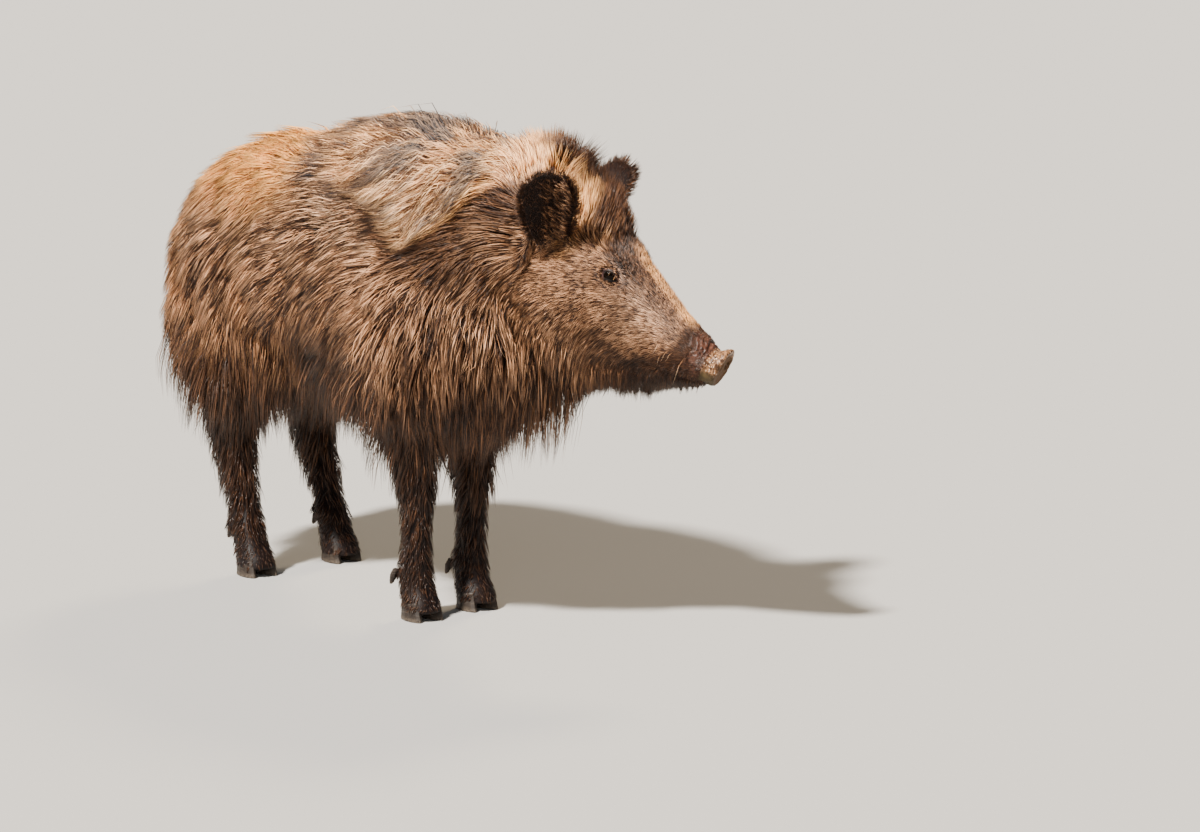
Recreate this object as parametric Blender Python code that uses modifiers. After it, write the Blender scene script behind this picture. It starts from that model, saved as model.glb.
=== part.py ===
"""A life-size wild boar, standing with its head turned to its left.

The animal is modelled out to the tips of its coat. Its trunk, neck, head and legs are lofts between
named sections, fused into one form, then parted by thin cuts into the pieces a person would name.
Ears, eyes, the snout's disc, the tail and the claws are pieces of their own.

Metres, +Z up, +X the way the trunk faces, +Y the animal's left. The sections are placed in stance
coordinates, whose origin lies on the floor between the forefeet; the last step moves everything so
that the origin is at the middle of the whole animal's box, on the floor.
"""

import math

import bmesh
import bpy
import numpy as np
from mathutils import Matrix, Vector

GAP = 0.0003  # between neighbouring pieces
SIDES = {"right": -1.0, "left": 1.0}

# The head's own frame: its origin lies midway between the ears' roots, +x towards the snout.
HEAD_AT = Vector((0.260, 0.063, 0.622))
HEAD_TURN = math.radians(33.0)
HEAD_NOD = math.radians(27.0)

FORM_VOXEL = 0.0065
FORM_EASING = 7
BODY_EASING = 34  # more easing for the trunk and neck, where muscles run into each other
FORM_TRIANGLES = 3780
KEPT_DETAIL = 0.00015  # how strongly triangles are kept on the head and feet
LEAST_THINNED = 0.1  # the thinning weight there, next to 1 on the body

# How many sides the rings of each loft have, and how high up a section its widest place lies.
TRUNK_SIDES = 40
HEAD_SIDES = 36
LEG_SIDES = 24
TRUNK_MIDDLE = 0.46
HEAD_MIDDLE = 0.42
TRUNK_FULLNESS = 0.86  # 1 makes a section an ellipse, less makes it squarer
HEAD_FULLNESS = 0.90
LEG_FULLNESS = 0.95

# Trunk sections: x, top, bottom, half width, then the coat's depth over, beside and under.
TRUNK = [
    (-0.664, 0.550, 0.455, 0.038, 0.020, 0.030, 0.045),
    (-0.646, 0.590, 0.420, 0.074, 0.024, 0.032, 0.060),
    (-0.602, 0.634, 0.392, 0.110, 0.028, 0.034, 0.066),
    (-0.530, 0.674, 0.380, 0.134, 0.032, 0.036, 0.060),
    (-0.430, 0.704, 0.378, 0.146, 0.036, 0.036, 0.055),
    (-0.300, 0.718, 0.372, 0.151, 0.038, 0.036, 0.055),
    (-0.180, 0.731, 0.360, 0.154, 0.044, 0.036, 0.056),
    (-0.060, 0.741, 0.350, 0.154, 0.050, 0.036, 0.058),
    (0.050, 0.727, 0.346, 0.148, 0.051, 0.038, 0.058),
    (0.130, 0.700, 0.366, 0.132, 0.050, 0.040, 0.064),
    (0.190, 0.668, 0.410, 0.108, 0.046, 0.038, 0.066),
    (0.232, 0.634, 0.450, 0.074, 0.038, 0.034, 0.050),
]

# Neck sections between the trunk's end and the head's: share of the way, half width, rise, drop, the
# coat's depths, and how much narrower the section is at its top and at its bottom.
NECK = [
    (0.00, 0.134, 0.184, 0.190, 0.048, 0.036, 0.060, 0.06, 0.00),
    (0.35, 0.124, 0.154, 0.196, 0.052, 0.036, 0.080, 0.14, 0.08),
    (0.70, 0.108, 0.134, 0.202, 0.064, 0.034, 0.094, 0.26, 0.18),
    (1.00, 0.092, 0.108, 0.196, 0.076, 0.030, 0.100, 0.40, 0.28),
]
NECK_START = Vector((0.060, 0.000, 0.538))
NECK_NOD_SHARE = 0.55  # of the head's nod that the neck's last section takes
NECK_END = (-0.035, 0.000, -0.030)  # in the head's frame

# Head sections in its own frame: x, top, bottom, half width, coat over, beside and under, and how
# much narrower the section is at its top and at its bottom.
HEAD = [
    (-0.105, 0.036, -0.130, 0.070, 0.092, 0.028, 0.100, 0.50, 0.40),
    (-0.060, 0.052, -0.156, 0.078, 0.102, 0.022, 0.110, 0.52, 0.42),
    (-0.015, 0.058, -0.166, 0.077, 0.084, 0.016, 0.122, 0.50, 0.45),
    (0.035, 0.052, -0.166, 0.074, 0.030, 0.012, 0.130, 0.30, 0.48),
    (0.085, 0.038, -0.158, 0.066, 0.013, 0.010, 0.116, 0.14, 0.48),
    (0.130, 0.021, -0.146, 0.056, 0.009, 0.010, 0.086, 0.10, 0.42),
    (0.172, 0.003, -0.133, 0.047, 0.008, 0.010, 0.046, 0.10, 0.30),
    (0.214, -0.014, -0.121, 0.040, 0.007, 0.009, 0.026, 0.08, 0.20),
    (0.245, -0.024, -0.110, 0.035, 0.006, 0.007, 0.016, 0.06, 0.12),
    (0.270, -0.034, -0.099, 0.030, 0.003, 0.004, 0.008, 0.00, 0.05),
    (0.293, -0.028, -0.086, 0.026, 0.001, 0.002, 0.004, 0.00, 0.00),
]

DISC_BACK = 0.2940
DISC_FRONT = 0.3020
DISC_HALF_WIDTH = 0.0285
DISC_TOP = -0.0200
DISC_BOTTOM = -0.0880
DISC_PROFILE = [(0.0, 0.90), (0.20, 0.97), (0.55, 1.03), (0.85, 1.00), (1.0, 0.93)]  # depth share, size
NOSTRIL_ASIDE = 0.0135
NOSTRIL_RISE = 0.003
NOSTRIL_HALF_AXES = (0.0085, 0.0060, 0.0075)

EYE_AT = (0.0890, 0.0475, -0.005)  # of the left eye, in the head's frame
EYE_RADIUS = 0.0115
EYE_OPENING = 0.014  # half the height of the bare opening in the coat
EYE_OPENING_REACH = 0.040

EAR_ROOT = (-0.008, 0.070, -0.004)
EAR_LENGTH = 0.150
EAR_HALF_WIDTH = 0.043
EAR_LEAN = {"right": (-0.26, -0.54, 0.80), "left": (-0.22, 0.68, 0.64)}
EAR_FACING = {"right": (0.44, -0.86, 0.18), "left": (0.22, 0.96, 0.10)}
EAR_THICKNESS = 0.011
EAR_CUP = math.radians(118.0)
EAR_UNCUPPED = 0.45  # how much of the cup has opened out at the tip
EAR_ROWS = 9

# Leg sections, from the body down: height, forward and outward shift from the foot, half length,
# half width and the coat's depth.
FORELEG = [
    (0.520, -0.030, 0.030, 0.105, 0.045, 0.030),
    (0.450, -0.028, 0.022, 0.088, 0.048, 0.028),
    (0.385, -0.022, 0.014, 0.066, 0.043, 0.026),
    (0.320, -0.012, 0.008, 0.046, 0.034, 0.020),
    (0.260, -0.004, 0.004, 0.034, 0.028, 0.015),
    (0.205, 0.002, 0.001, 0.027, 0.025, 0.010),
    (0.160, 0.000, 0.000, 0.021, 0.020, 0.009),
    (0.110, -0.002, 0.000, 0.021, 0.020, 0.008),
    (0.080, -0.006, 0.000, 0.026, 0.024, 0.007),
    (0.050, 0.000, 0.000, 0.027, 0.026, 0.005),
    (0.030, 0.008, 0.000, 0.031, 0.029, 0.002),
    (0.012, 0.012, 0.000, 0.033, 0.030, 0.001),
]
HINDLEG = [
    (0.560, -0.045, 0.006, 0.118, 0.048, 0.028),
    (0.480, -0.050, 0.008, 0.118, 0.056, 0.030),
    (0.410, -0.046, 0.008, 0.104, 0.056, 0.032),
    (0.345, -0.040, 0.006, 0.082, 0.046, 0.034),
    (0.285, -0.042, 0.003, 0.056, 0.036, 0.026),
    (0.235, -0.052, 0.001, 0.041, 0.028, 0.018),
    (0.200, -0.050, 0.000, 0.035, 0.025, 0.014),
    (0.160, -0.038, 0.000, 0.027, 0.022, 0.012),
    (0.110, -0.022, 0.000, 0.022, 0.020, 0.009),
    (0.078, -0.013, 0.000, 0.026, 0.024, 0.007),
    (0.050, -0.003, 0.000, 0.027, 0.026, 0.005),
    (0.030, 0.008, 0.000, 0.031, 0.029, 0.002),
    (0.012, 0.012, 0.000, 0.033, 0.030, 0.001),
]
FEET = {
    "foreleg_right": (0.000, -0.060),
    "foreleg_left": (-0.018, 0.056),
    "hindleg_right": (-0.446, -0.090),
    "hindleg_left": (-0.466, 0.086),
}
HOCK_BACK = {"hindleg_right": 0.0, "hindleg_left": -0.018}  # how much further back this hock lies
HOCK_HEIGHT = 0.22
HOCK_SPAN = 0.10

# Muscles that round the form: centre and half axes, and for the head's in its own frame.
BODY_MASSES = [
    ((-0.010, 0.092, 0.500), (0.125, 0.068, 0.165)),
    ((-0.455, 0.084, 0.490), (0.150, 0.076, 0.165)),
    ((-0.552, 0.074, 0.420), (0.088, 0.070, 0.110)),
]
HEAD_MASSES = [
    ((0.018, 0.042, -0.084), (0.080, 0.050, 0.074)),
    ((0.078, 0.034, 0.012), (0.034, 0.018, 0.015)),
]
BODY_MASS_COAT = 0.030
HEAD_MASS_COAT = 0.010

TAIL_ROOT = Vector((-0.620, 0.0, 0.560))
TAIL_POINTS = [(0.0, 0.0, 0.0), (-0.045, 0.004, -0.012), (-0.066, 0.010, -0.070), (-0.062, 0.016, -0.150)]
TAIL_THICKNESS = [0.024, 0.019, 0.015, 0.013]
TASSEL_POINTS = [(-0.060, 0.018, -0.200), (-0.056, 0.018, -0.262), (-0.052, 0.016, -0.300)]
TASSEL_THICKNESS = [0.019, 0.015, 0.003]

# Where the legs part from the trunk: cutter centre from the foot, half axes.
LEG_CUT_FORE = ((-0.016, 0.030, 0.200), (0.122, 0.092, 0.262))
LEG_CUT_HIND = ((-0.085, 0.040, 0.200), (0.205, 0.140, 0.300))
NECK_CUT_X = 0.105
HEAD_CUT_X = -0.040  # in the head's frame

CLAW_SPLAY = math.radians(7.0)
CLAW_OFFSET = 0.0158
CLAW_HALF_WIDTH = 0.0135
CLAW_LENGTH = 0.062
CLAW_HEEL = -0.020
CORONET_FRONT = 0.034
CORONET_SLOPE = 0.24
CLAW_SIDES = 12
DEWCLAW_AT = (-0.0345, 0.0185, 0.070)
DEWCLAW_AIM = (-0.36, 0.16, -0.92)
DEWCLAW_PROFILE = [(0.0, 0.8), (0.4, 1.0), (0.85, 0.60), (1.0, 0.28)]  # share of its length, size
HIND_DEWCLAW_SHIFT = (0.004, 0.006)  # how much further forward and up the hind feet's sit
DEWCLAW_LENGTH = 0.026
DEWCLAW_RADIUS = 0.0080

COAT_COLOUR = (0.20, 0.115, 0.060, 1.0)
DARK_COAT = (0.050, 0.032, 0.022, 1.0)
SNOUT_COLOUR = (0.33, 0.22, 0.15, 1.0)
HORN_COLOUR = (0.055, 0.042, 0.034, 1.0)
EYE_COLOUR = (0.012, 0.008, 0.006, 1.0)


def clear_scene():
    for obj in list(bpy.data.objects):
        bpy.data.objects.remove(obj)


def make_collection(name, shown=True):
    made = bpy.data.collections.new(name)
    bpy.context.scene.collection.children.link(made)
    made.hide_render = not shown
    return made


def make_material(name, colour, roughness):
    material = bpy.data.materials.new(name)
    material.use_nodes = True
    shader = material.node_tree.nodes["Principled BSDF"]
    shader.inputs["Base Color"].default_value = colour
    shader.inputs["Roughness"].default_value = roughness
    shader.inputs["Metallic"].default_value = 0.0
    return material


def head_matrix():
    turn = Matrix.Rotation(HEAD_TURN, 4, "Z")
    nod = Matrix.Rotation(HEAD_NOD, 4, "Y")
    return Matrix.Translation(HEAD_AT) @ turn @ nod


def object_from_bmesh(name, mesh_data, collection):
    mesh = bpy.data.meshes.new(name)
    mesh_data.to_mesh(mesh)
    mesh_data.free()
    obj = bpy.data.objects.new(name, mesh)
    collection.objects.link(obj)
    return obj


def spline_rows(rows, steps):
    """The rows with steps - 1 more rows eased in between each two, on a Catmull-Rom curve."""
    table = [np.array(row, float) for row in rows]
    table = [2 * table[0] - table[1], *table, 2 * table[-1] - table[-2]]
    eased = []
    for a, b, c, d in zip(table, table[1:], table[2:], table[3:]):
        for step in range(steps):
            t = step / steps
            bend = 2 * a - 5 * b + 4 * c - d
            twist = 3 * b - a - 3 * c + d
            eased.append(0.5 * (2 * b + (c - a) * t + bend * t**2 + twist * t**3))
    eased.append(table[-2])
    return eased


def ring_points(centre, side, up, half_width, rise, drop, count, fullness=TRUNK_FULLNESS, tapers=(0.0, 0.0)):
    """One section: a rounded outline about a centre, narrowed towards its top and bottom by the tapers."""
    points = []
    for index in range(count):
        angle = 2 * math.pi * index / count
        across = math.copysign(abs(math.cos(angle)) ** fullness, math.cos(angle))
        along = math.copysign(abs(math.sin(angle)) ** fullness, math.sin(angle))
        reach, taper = (rise, tapers[0]) if along > 0 else (drop, tapers[1])
        across *= 1 - taper * abs(along)
        points.append(centre + side * (half_width * across) + up * (reach * along))
    return points


def loft(mesh_data, rings):
    """A closed skin over rings of points, each ring capped by a fan at the two ends."""
    loops = [[mesh_data.verts.new(point) for point in ring] for ring in rings]
    count = len(loops[0])
    for near, far in zip(loops, loops[1:]):
        for index in range(count):
            after = (index + 1) % count
            mesh_data.faces.new((near[index], near[after], far[after], far[index]))
    for loop in (loops[0], loops[-1]):
        middle = mesh_data.verts.new(sum((v.co for v in loop), Vector()) / count)
        for index in range(count):
            mesh_data.faces.new((loop[index], loop[(index + 1) % count], middle))


def finish_normals(mesh_data):
    bmesh.ops.recalc_face_normals(mesh_data, faces=mesh_data.faces)


def add_trunk(mesh_data):
    rings = []
    for x, top, bottom, half_width, over, beside, under in spline_rows(TRUNK, 3):
        middle = TRUNK_MIDDLE * top + (1 - TRUNK_MIDDLE) * bottom
        rings.append(
            ring_points(
                Vector((x, 0, middle)),
                Vector((0, 1, 0)),
                Vector((0, 0, 1)),
                half_width + beside,
                top + over - middle,
                middle - bottom + under,
                TRUNK_SIDES,
            )
        )
    loft(mesh_data, rings)


def add_neck(mesh_data):
    head = head_matrix()
    end = head @ Vector(NECK_END)
    rings = []
    for share, half_width, rise, drop, over, beside, under, *tapers in spline_rows(NECK, 4):
        turn = HEAD_TURN * share
        nod = NECK_NOD_SHARE * HEAD_NOD * share
        facing = Matrix.Rotation(turn, 3, "Z") @ Matrix.Rotation(nod, 3, "Y")
        centre = NECK_START.lerp(end, share)
        side, up = facing @ Vector((0, 1, 0)), facing @ Vector((0, 0, 1))
        wide, high, deep = half_width + beside, rise + over, drop + under
        rings.append(ring_points(centre, side, up, wide, high, deep, TRUNK_SIDES, tapers=tapers))
    loft(mesh_data, rings)


def add_head(mesh_data):
    head = head_matrix()
    rings = []
    for x, top, bottom, half_width, over, beside, under, *tapers in spline_rows(HEAD, 3):
        middle = HEAD_MIDDLE * top + (1 - HEAD_MIDDLE) * bottom
        ring = ring_points(
            Vector((x, 0, middle)),
            Vector((0, 1, 0)),
            Vector((0, 0, 1)),
            half_width + beside,
            top + over - middle,
            middle - bottom + under,
            HEAD_SIDES,
            HEAD_FULLNESS,
            tapers,
        )
        rings.append([head @ point for point in ring])
    loft(mesh_data, rings)


def add_leg(mesh_data, name, sections):
    x, y = FEET[name]
    outward = math.copysign(1, y)
    rings = []
    for height, ahead, aside, half_length, half_width, coat in spline_rows(sections, 2):
        back = HOCK_BACK.get(name, 0.0) * math.exp(-(((height - HOCK_HEIGHT) / HOCK_SPAN) ** 2))
        centre = Vector((x + ahead + back, y + outward * aside, height))
        rings.append(
            ring_points(
                centre,
                Vector((0, 1, 0)),
                Vector((1, 0, 0)),
                half_width + coat,
                half_length + coat,
                half_length + coat,
                LEG_SIDES,
                LEG_FULLNESS,
            )
        )
    loft(mesh_data, rings)


def add_mass(mesh_data, centre, half_axes, frame=None, segments=28):
    placed = Matrix.Translation(Vector(centre)) @ Matrix.Diagonal((*half_axes, 1.0))
    bmesh.ops.create_uvsphere(
        mesh_data,
        u_segments=segments,
        v_segments=segments * 2 // 3,
        radius=1.0,
        matrix=(frame or Matrix.Identity(4)) @ placed,
    )


def baked(obj, collection, name):
    """The object as its modifiers leave it, as a plain mesh of its own."""
    graph = bpy.context.evaluated_depsgraph_get()
    mesh = bpy.data.meshes.new_from_object(obj.evaluated_get(graph))
    made = bpy.data.objects.new(name, mesh)
    made.matrix_world = obj.matrix_world
    collection.objects.link(made)
    return made


def drop(obj):
    bpy.data.objects.remove(obj)


def ramp(value, none_at, all_at):
    """0 at none_at, 1 at all_at and beyond, and a straight run between."""
    return min(max((value - none_at) / (all_at - none_at), 0.0), 1.0)


def weigh(obj):
    """Marks how freely each place may be thinned and eased: least on the head and feet."""
    thinned = obj.vertex_groups.new(name="thinned")
    eased = obj.vertex_groups.new(name="eased")
    inverse = head_matrix().inverted()
    for vertex in obj.data.vertices:
        local = inverse @ vertex.co
        height = vertex.co.z
        on_head = ramp(local.x, -0.04, 0.06)
        on_foot = ramp(height, 0.26, 0.16)
        on_leg = ramp(height, 0.40, 0.30) if local.x < -0.20 else 0.0
        near_head = ramp(local.x, -0.06, 0.02)
        thinned.add([vertex.index], 1 - (1 - LEAST_THINNED) * max(on_head, on_foot), "REPLACE")
        eased.add([vertex.index], 1 - max(on_leg, near_head), "REPLACE")


def fused_form(collection):
    """Trunk, neck, head and legs as one smooth form, thinned to the triangles it may use."""
    mesh_data = bmesh.new()
    add_trunk(mesh_data)
    add_neck(mesh_data)
    add_head(mesh_data)
    for name in FEET:
        add_leg(mesh_data, name, FORELEG if name.startswith("fore") else HINDLEG)
    for side in SIDES.values():
        for centre, half_axes in BODY_MASSES:
            coated = [axis + BODY_MASS_COAT for axis in half_axes]
            add_mass(mesh_data, (centre[0], side * centre[1], centre[2]), coated)
        for centre, half_axes in HEAD_MASSES:
            coated = [axis + HEAD_MASS_COAT for axis in half_axes]
            add_mass(mesh_data, (centre[0], side * centre[1], centre[2]), coated, head_matrix())
    finish_normals(mesh_data)
    rough = object_from_bmesh("rough_form", mesh_data, collection)
    remesh = rough.modifiers.new("fuse", "REMESH")
    remesh.mode = "VOXEL"
    remesh.voxel_size = FORM_VOXEL
    fused = baked(rough, collection, "fused_form")
    drop(rough)
    weigh(fused)
    for iterations, group in ((FORM_EASING, ""), (BODY_EASING, "eased")):
        smooth = fused.modifiers.new("ease", "SMOOTH")
        smooth.factor = 0.5
        smooth.iterations = iterations
        smooth.vertex_group = group
    count = sum(len(face.vertices) - 2 for face in fused.data.polygons)
    thin = fused.modifiers.new("thin", "DECIMATE")
    thin.ratio = FORM_TRIANGLES / count
    thin.vertex_group = "thinned"
    thin.vertex_group_factor = KEPT_DETAIL
    thin.use_collapse_triangulate = True
    form = baked(fused, collection, "form")
    drop(fused)
    return form


def combine(target, other, operation):
    """Applies one Boolean to target, and returns the result in target's place and name."""
    modifier = target.modifiers.new("shape", "BOOLEAN")
    modifier.operation = operation
    modifier.solver = "EXACT"
    modifier.object = other
    name, home = target.name, target.users_collection[0]
    made = baked(target, home, "made")
    drop(target)
    made.name = name
    return made


def copied(obj, name, collection):
    made = bpy.data.objects.new(name, obj.data.copy())
    made.matrix_world = obj.matrix_world
    collection.objects.link(made)
    return made


def inflated(obj, name, collection, by=GAP):
    """A copy of the object grown by the gap, to cut its neighbours with."""
    copy = copied(obj, "grown", collection)
    grow = copy.modifiers.new("grow", "DISPLACE")
    grow.strength = by
    grow.mid_level = 0.0
    made = baked(copy, collection, name)
    drop(copy)
    return made


def ball_cutter(name, centre, half_axes, collection, grow=0.0):
    mesh_data = bmesh.new()
    add_mass(mesh_data, centre, [axis + grow for axis in half_axes], segments=15)
    return object_from_bmesh(name, mesh_data, collection)


def slab_cutter(name, frame, low, high, collection):
    """A wide block in a frame, spanning low to high along the frame's x."""
    mesh_data = bmesh.new()
    bmesh.ops.create_cube(mesh_data, size=1.0)
    span = Matrix.Diagonal((high - low, 3.0, 3.0, 1.0))
    bmesh.ops.transform(
        mesh_data, matrix=frame @ Matrix.Translation(((low + high) / 2, 0, 0)) @ span, verts=mesh_data.verts
    )
    return object_from_bmesh(name, mesh_data, collection)


def part_form(form, animal, tools):
    """Parts the fused form into trunk, neck, head and legs. Returns them by name."""
    pieces = {}
    rest = form
    for name, (x, y) in FEET.items():
        (ahead, aside, height), half_axes = LEG_CUT_FORE if name.startswith("fore") else LEG_CUT_HIND
        centre = (x + ahead, y + math.copysign(aside, y), height)
        cutter = ball_cutter("leg_space", centre, half_axes, tools)
        wider = ball_cutter("leg_space_wide", centre, half_axes, tools, GAP)
        outwards = Matrix.Rotation(math.copysign(math.pi / 2, y), 4, "Z")
        half = slab_cutter("leg_side", outwards, 0.5 * GAP, 1.0, tools)
        leg = copied(rest, name, animal)
        leg = combine(leg, cutter, "INTERSECT")
        leg = combine(leg, half, "INTERSECT")
        leg.name = name
        pieces[name] = leg
        rest = combine(rest, wider, "DIFFERENCE")
        for tool in (cutter, wider, half):
            drop(tool)
    upright = Matrix.Identity(4)
    cuts = {
        "trunk": [(upright, -2.0, NECK_CUT_X)],
        "neck": [(upright, NECK_CUT_X + GAP, 2.0), (head_matrix(), -2.0, HEAD_CUT_X)],
        "head": [(upright, NECK_CUT_X + GAP, 2.0), (head_matrix(), HEAD_CUT_X + GAP, 2.0)],
    }
    for name, spans in cuts.items():
        piece = copied(rest, name, animal)
        for frame, low, high in spans:
            cutter = slab_cutter("span", frame, low, high, tools)
            piece = combine(piece, cutter, "INTERSECT")
            drop(cutter)
        piece.name = name
        pieces[name] = piece
    drop(rest)
    return pieces


def keep_largest(obj):
    """Removes loose crumbs that a cut has left beside the main body of a piece."""
    mesh_data = bmesh.new()
    mesh_data.from_mesh(obj.data)
    unseen = set(mesh_data.verts)
    islands = []
    while unseen:
        island, border = set(), [unseen.pop()]
        while border:
            vertex = border.pop()
            island.add(vertex)
            for edge in vertex.link_edges:
                other = edge.other_vert(vertex)
                if other in unseen:
                    unseen.remove(other)
                    border.append(other)
        islands.append(island)
    islands.sort(key=len)
    for island in islands[:-1]:
        bmesh.ops.delete(mesh_data, geom=list(island), context="VERTS")
    mesh_data.to_mesh(obj.data)
    mesh_data.free()


def make_eye(side, animal):
    x, y, z = EYE_AT
    centre = head_matrix() @ Vector((x, SIDES[side] * y, z))
    mesh_data = bmesh.new()
    bmesh.ops.create_uvsphere(
        mesh_data, u_segments=14, v_segments=9, radius=EYE_RADIUS, matrix=Matrix.Translation(centre)
    )
    return object_from_bmesh("eye_" + side, mesh_data, animal)


def eye_space(side, tools):
    """The socket that the eye sits in, opening outwards through the coat."""
    x, y, z = EYE_AT
    outward = SIDES[side]
    mesh_data = bmesh.new()
    middle = (x, outward * (y + EYE_OPENING_REACH / 2), z)
    opening = Matrix.Translation(middle) @ Matrix.Rotation(-outward * math.pi / 2, 4, "X")
    bmesh.ops.create_cone(
        mesh_data,
        cap_ends=True,
        segments=14,
        radius1=EYE_RADIUS * 0.93,
        radius2=EYE_OPENING,
        depth=EYE_OPENING_REACH,
        matrix=head_matrix() @ opening,
    )
    return object_from_bmesh("eye_opening", mesh_data, tools)


def make_disc(animal):
    """The flat disc that ends the snout, with a raised rim and its two nostrils."""
    height = DISC_TOP - DISC_BOTTOM
    middle = (DISC_TOP + DISC_BOTTOM) / 2
    head = head_matrix()
    mesh_data = bmesh.new()
    rings = []
    for share, size in DISC_PROFILE:
        x = DISC_BACK + (DISC_FRONT - DISC_BACK) * share
        ring = ring_points(
            Vector((x, 0, middle)),
            Vector((0, 1, 0)),
            Vector((0, 0, 1)),
            DISC_HALF_WIDTH * size,
            0.5 * height * size,
            0.5 * height * size,
            24,
            0.88,
        )
        rings.append([head @ point for point in ring])
    loft(mesh_data, rings)
    finish_normals(mesh_data)
    return object_from_bmesh("snout_disc", mesh_data, animal)


def nostril_cutter(side, tools):
    middle = (DISC_TOP + DISC_BOTTOM) / 2
    mesh_data = bmesh.new()
    placed = (
        head_matrix()
        @ Matrix.Translation((DISC_FRONT + 0.001, SIDES[side] * NOSTRIL_ASIDE, middle + NOSTRIL_RISE))
        @ Matrix.Diagonal((*NOSTRIL_HALF_AXES, 1.0))
    )
    bmesh.ops.create_uvsphere(mesh_data, u_segments=10, v_segments=7, radius=1.0, matrix=placed)
    return object_from_bmesh("nostril", mesh_data, tools)


def make_ear(side, animal):
    """A cupped leaf with a rounded tip, closed all round, its hollow turned to EAR_FACING."""
    head = head_matrix()
    root = Vector((EAR_ROOT[0], SIDES[side] * EAR_ROOT[1], EAR_ROOT[2]))
    lean = Vector(EAR_LEAN[side]).normalized()
    facing = Vector(EAR_FACING[side])
    facing = (facing - lean * facing.dot(lean)).normalized()
    across = lean.cross(facing)
    rows = columns = EAR_ROWS
    mesh_data = bmesh.new()
    sheets = {}
    for layer, inset in (("front", 0.5), ("back", -0.5)):
        grid = []
        for row in range(rows):
            along = row / (rows - 1)
            width = EAR_HALF_WIDTH * (0.60 + 1.02 * along) * math.sqrt(max(1 - along**2.6, 0.0))
            width = max(width, 0.004) if row < rows - 1 else 0.006
            cup = EAR_CUP * (1 - EAR_UNCUPPED * along)
            radius = width / math.sin(cup / 2)
            line = []
            for column in range(columns):
                share = 2 * column / (columns - 1) - 1
                angle = share * cup / 2
                thick = EAR_THICKNESS * (1.25 - 0.55 * along) * (1 - 0.55 * share**2)
                offset = radius - inset * thick
                point = (
                    root
                    + lean * (EAR_LENGTH * along)
                    + across * (offset * math.sin(angle))
                    + facing * (radius * math.cos(cup / 2) - offset * math.cos(angle))
                )
                line.append(mesh_data.verts.new(head @ point))
            grid.append(line)
        sheets[layer] = grid
    front, back = sheets["front"], sheets["back"]
    for grid in (front, back):
        for row in range(rows - 1):
            for column in range(columns - 1):
                corners = (grid[row][column], grid[row][column + 1])
                mesh_data.faces.new((*corners, grid[row + 1][column + 1], grid[row + 1][column]))
    border = [(row, 0) for row in range(rows)] + [(rows - 1, column) for column in range(1, columns)]
    border += [(row, columns - 1) for row in range(rows - 2, -1, -1)]
    border += [(0, column) for column in range(columns - 2, 0, -1)]
    for (row, column), (next_row, next_column) in zip(border, border[1:] + border[:1]):
        mesh_data.faces.new(
            (front[row][column], front[next_row][next_column], back[next_row][next_column], back[row][column])
        )
    finish_normals(mesh_data)
    return object_from_bmesh("ear_" + side, mesh_data, animal)


def add_tube(mesh_data, points, thickness, start):
    rings = []
    rows = [(*point, radius) for point, radius in zip(points, thickness)]
    eased = spline_rows(rows, 2)
    places = [Vector(row[:3]) + start for row in eased]
    for index, row in enumerate(eased):
        ahead = places[min(index + 1, len(places) - 1)] - places[max(index - 1, 0)]
        side = Vector((0, 1, 0))
        up = ahead.cross(side).normalized()
        rings.append(ring_points(places[index], side, up, row[3], row[3], row[3], 10, 1.0))
    loft(mesh_data, rings)


def make_tail(animal):
    """The hanging tail and the tassel at its end."""
    mesh_data = bmesh.new()
    add_tube(mesh_data, TAIL_POINTS + TASSEL_POINTS, TAIL_THICKNESS + TASSEL_THICKNESS, TAIL_ROOT)
    finish_normals(mesh_data)
    return object_from_bmesh("tail", mesh_data, animal)


def coronet_height(x):
    return CORONET_FRONT - CORONET_SLOPE * (CLAW_HEEL + CLAW_LENGTH - x)


def make_claw(leg, toe, animal):
    """One main claw: a flat sole, a sloping front and an upper rim under the coronet."""
    foot_x, foot_y = FEET[leg]
    outward = 1.0 if toe == "outer" else -1.0
    side = math.copysign(1.0, foot_y) * outward
    turned = Matrix.Rotation(side * CLAW_SPLAY, 4, "Z")
    placed = Matrix.Translation((foot_x, foot_y + side * CLAW_OFFSET, 0)) @ turned
    mesh_data = bmesh.new()
    rings = []
    levels = 2
    for level in range(levels + 1):
        share = level / levels
        ring = []
        for index in range(CLAW_SIDES):
            angle = 2 * math.pi * index / CLAW_SIDES
            front = CLAW_HEEL + CLAW_LENGTH * (1 - 0.16 * share)
            back = CLAW_HEEL + 0.004 * share
            mid, half = (front + back) / 2, (front - back) / 2
            pointed = 1 - 0.32 * max(math.cos(angle), 0.0) ** 2
            x = mid + half * math.cos(angle)
            y = CLAW_HALF_WIDTH * (1 - 0.06 * share) * math.sin(angle) * pointed
            point = placed @ Vector((x, y, 0))
            point.z = share * (coronet_height(point.x - foot_x) - GAP)
            ring.append(point)
        rings.append(ring)
    loft(mesh_data, rings)
    finish_normals(mesh_data)
    return object_from_bmesh(f"{leg}_claw_{toe}", mesh_data, animal)


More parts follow.
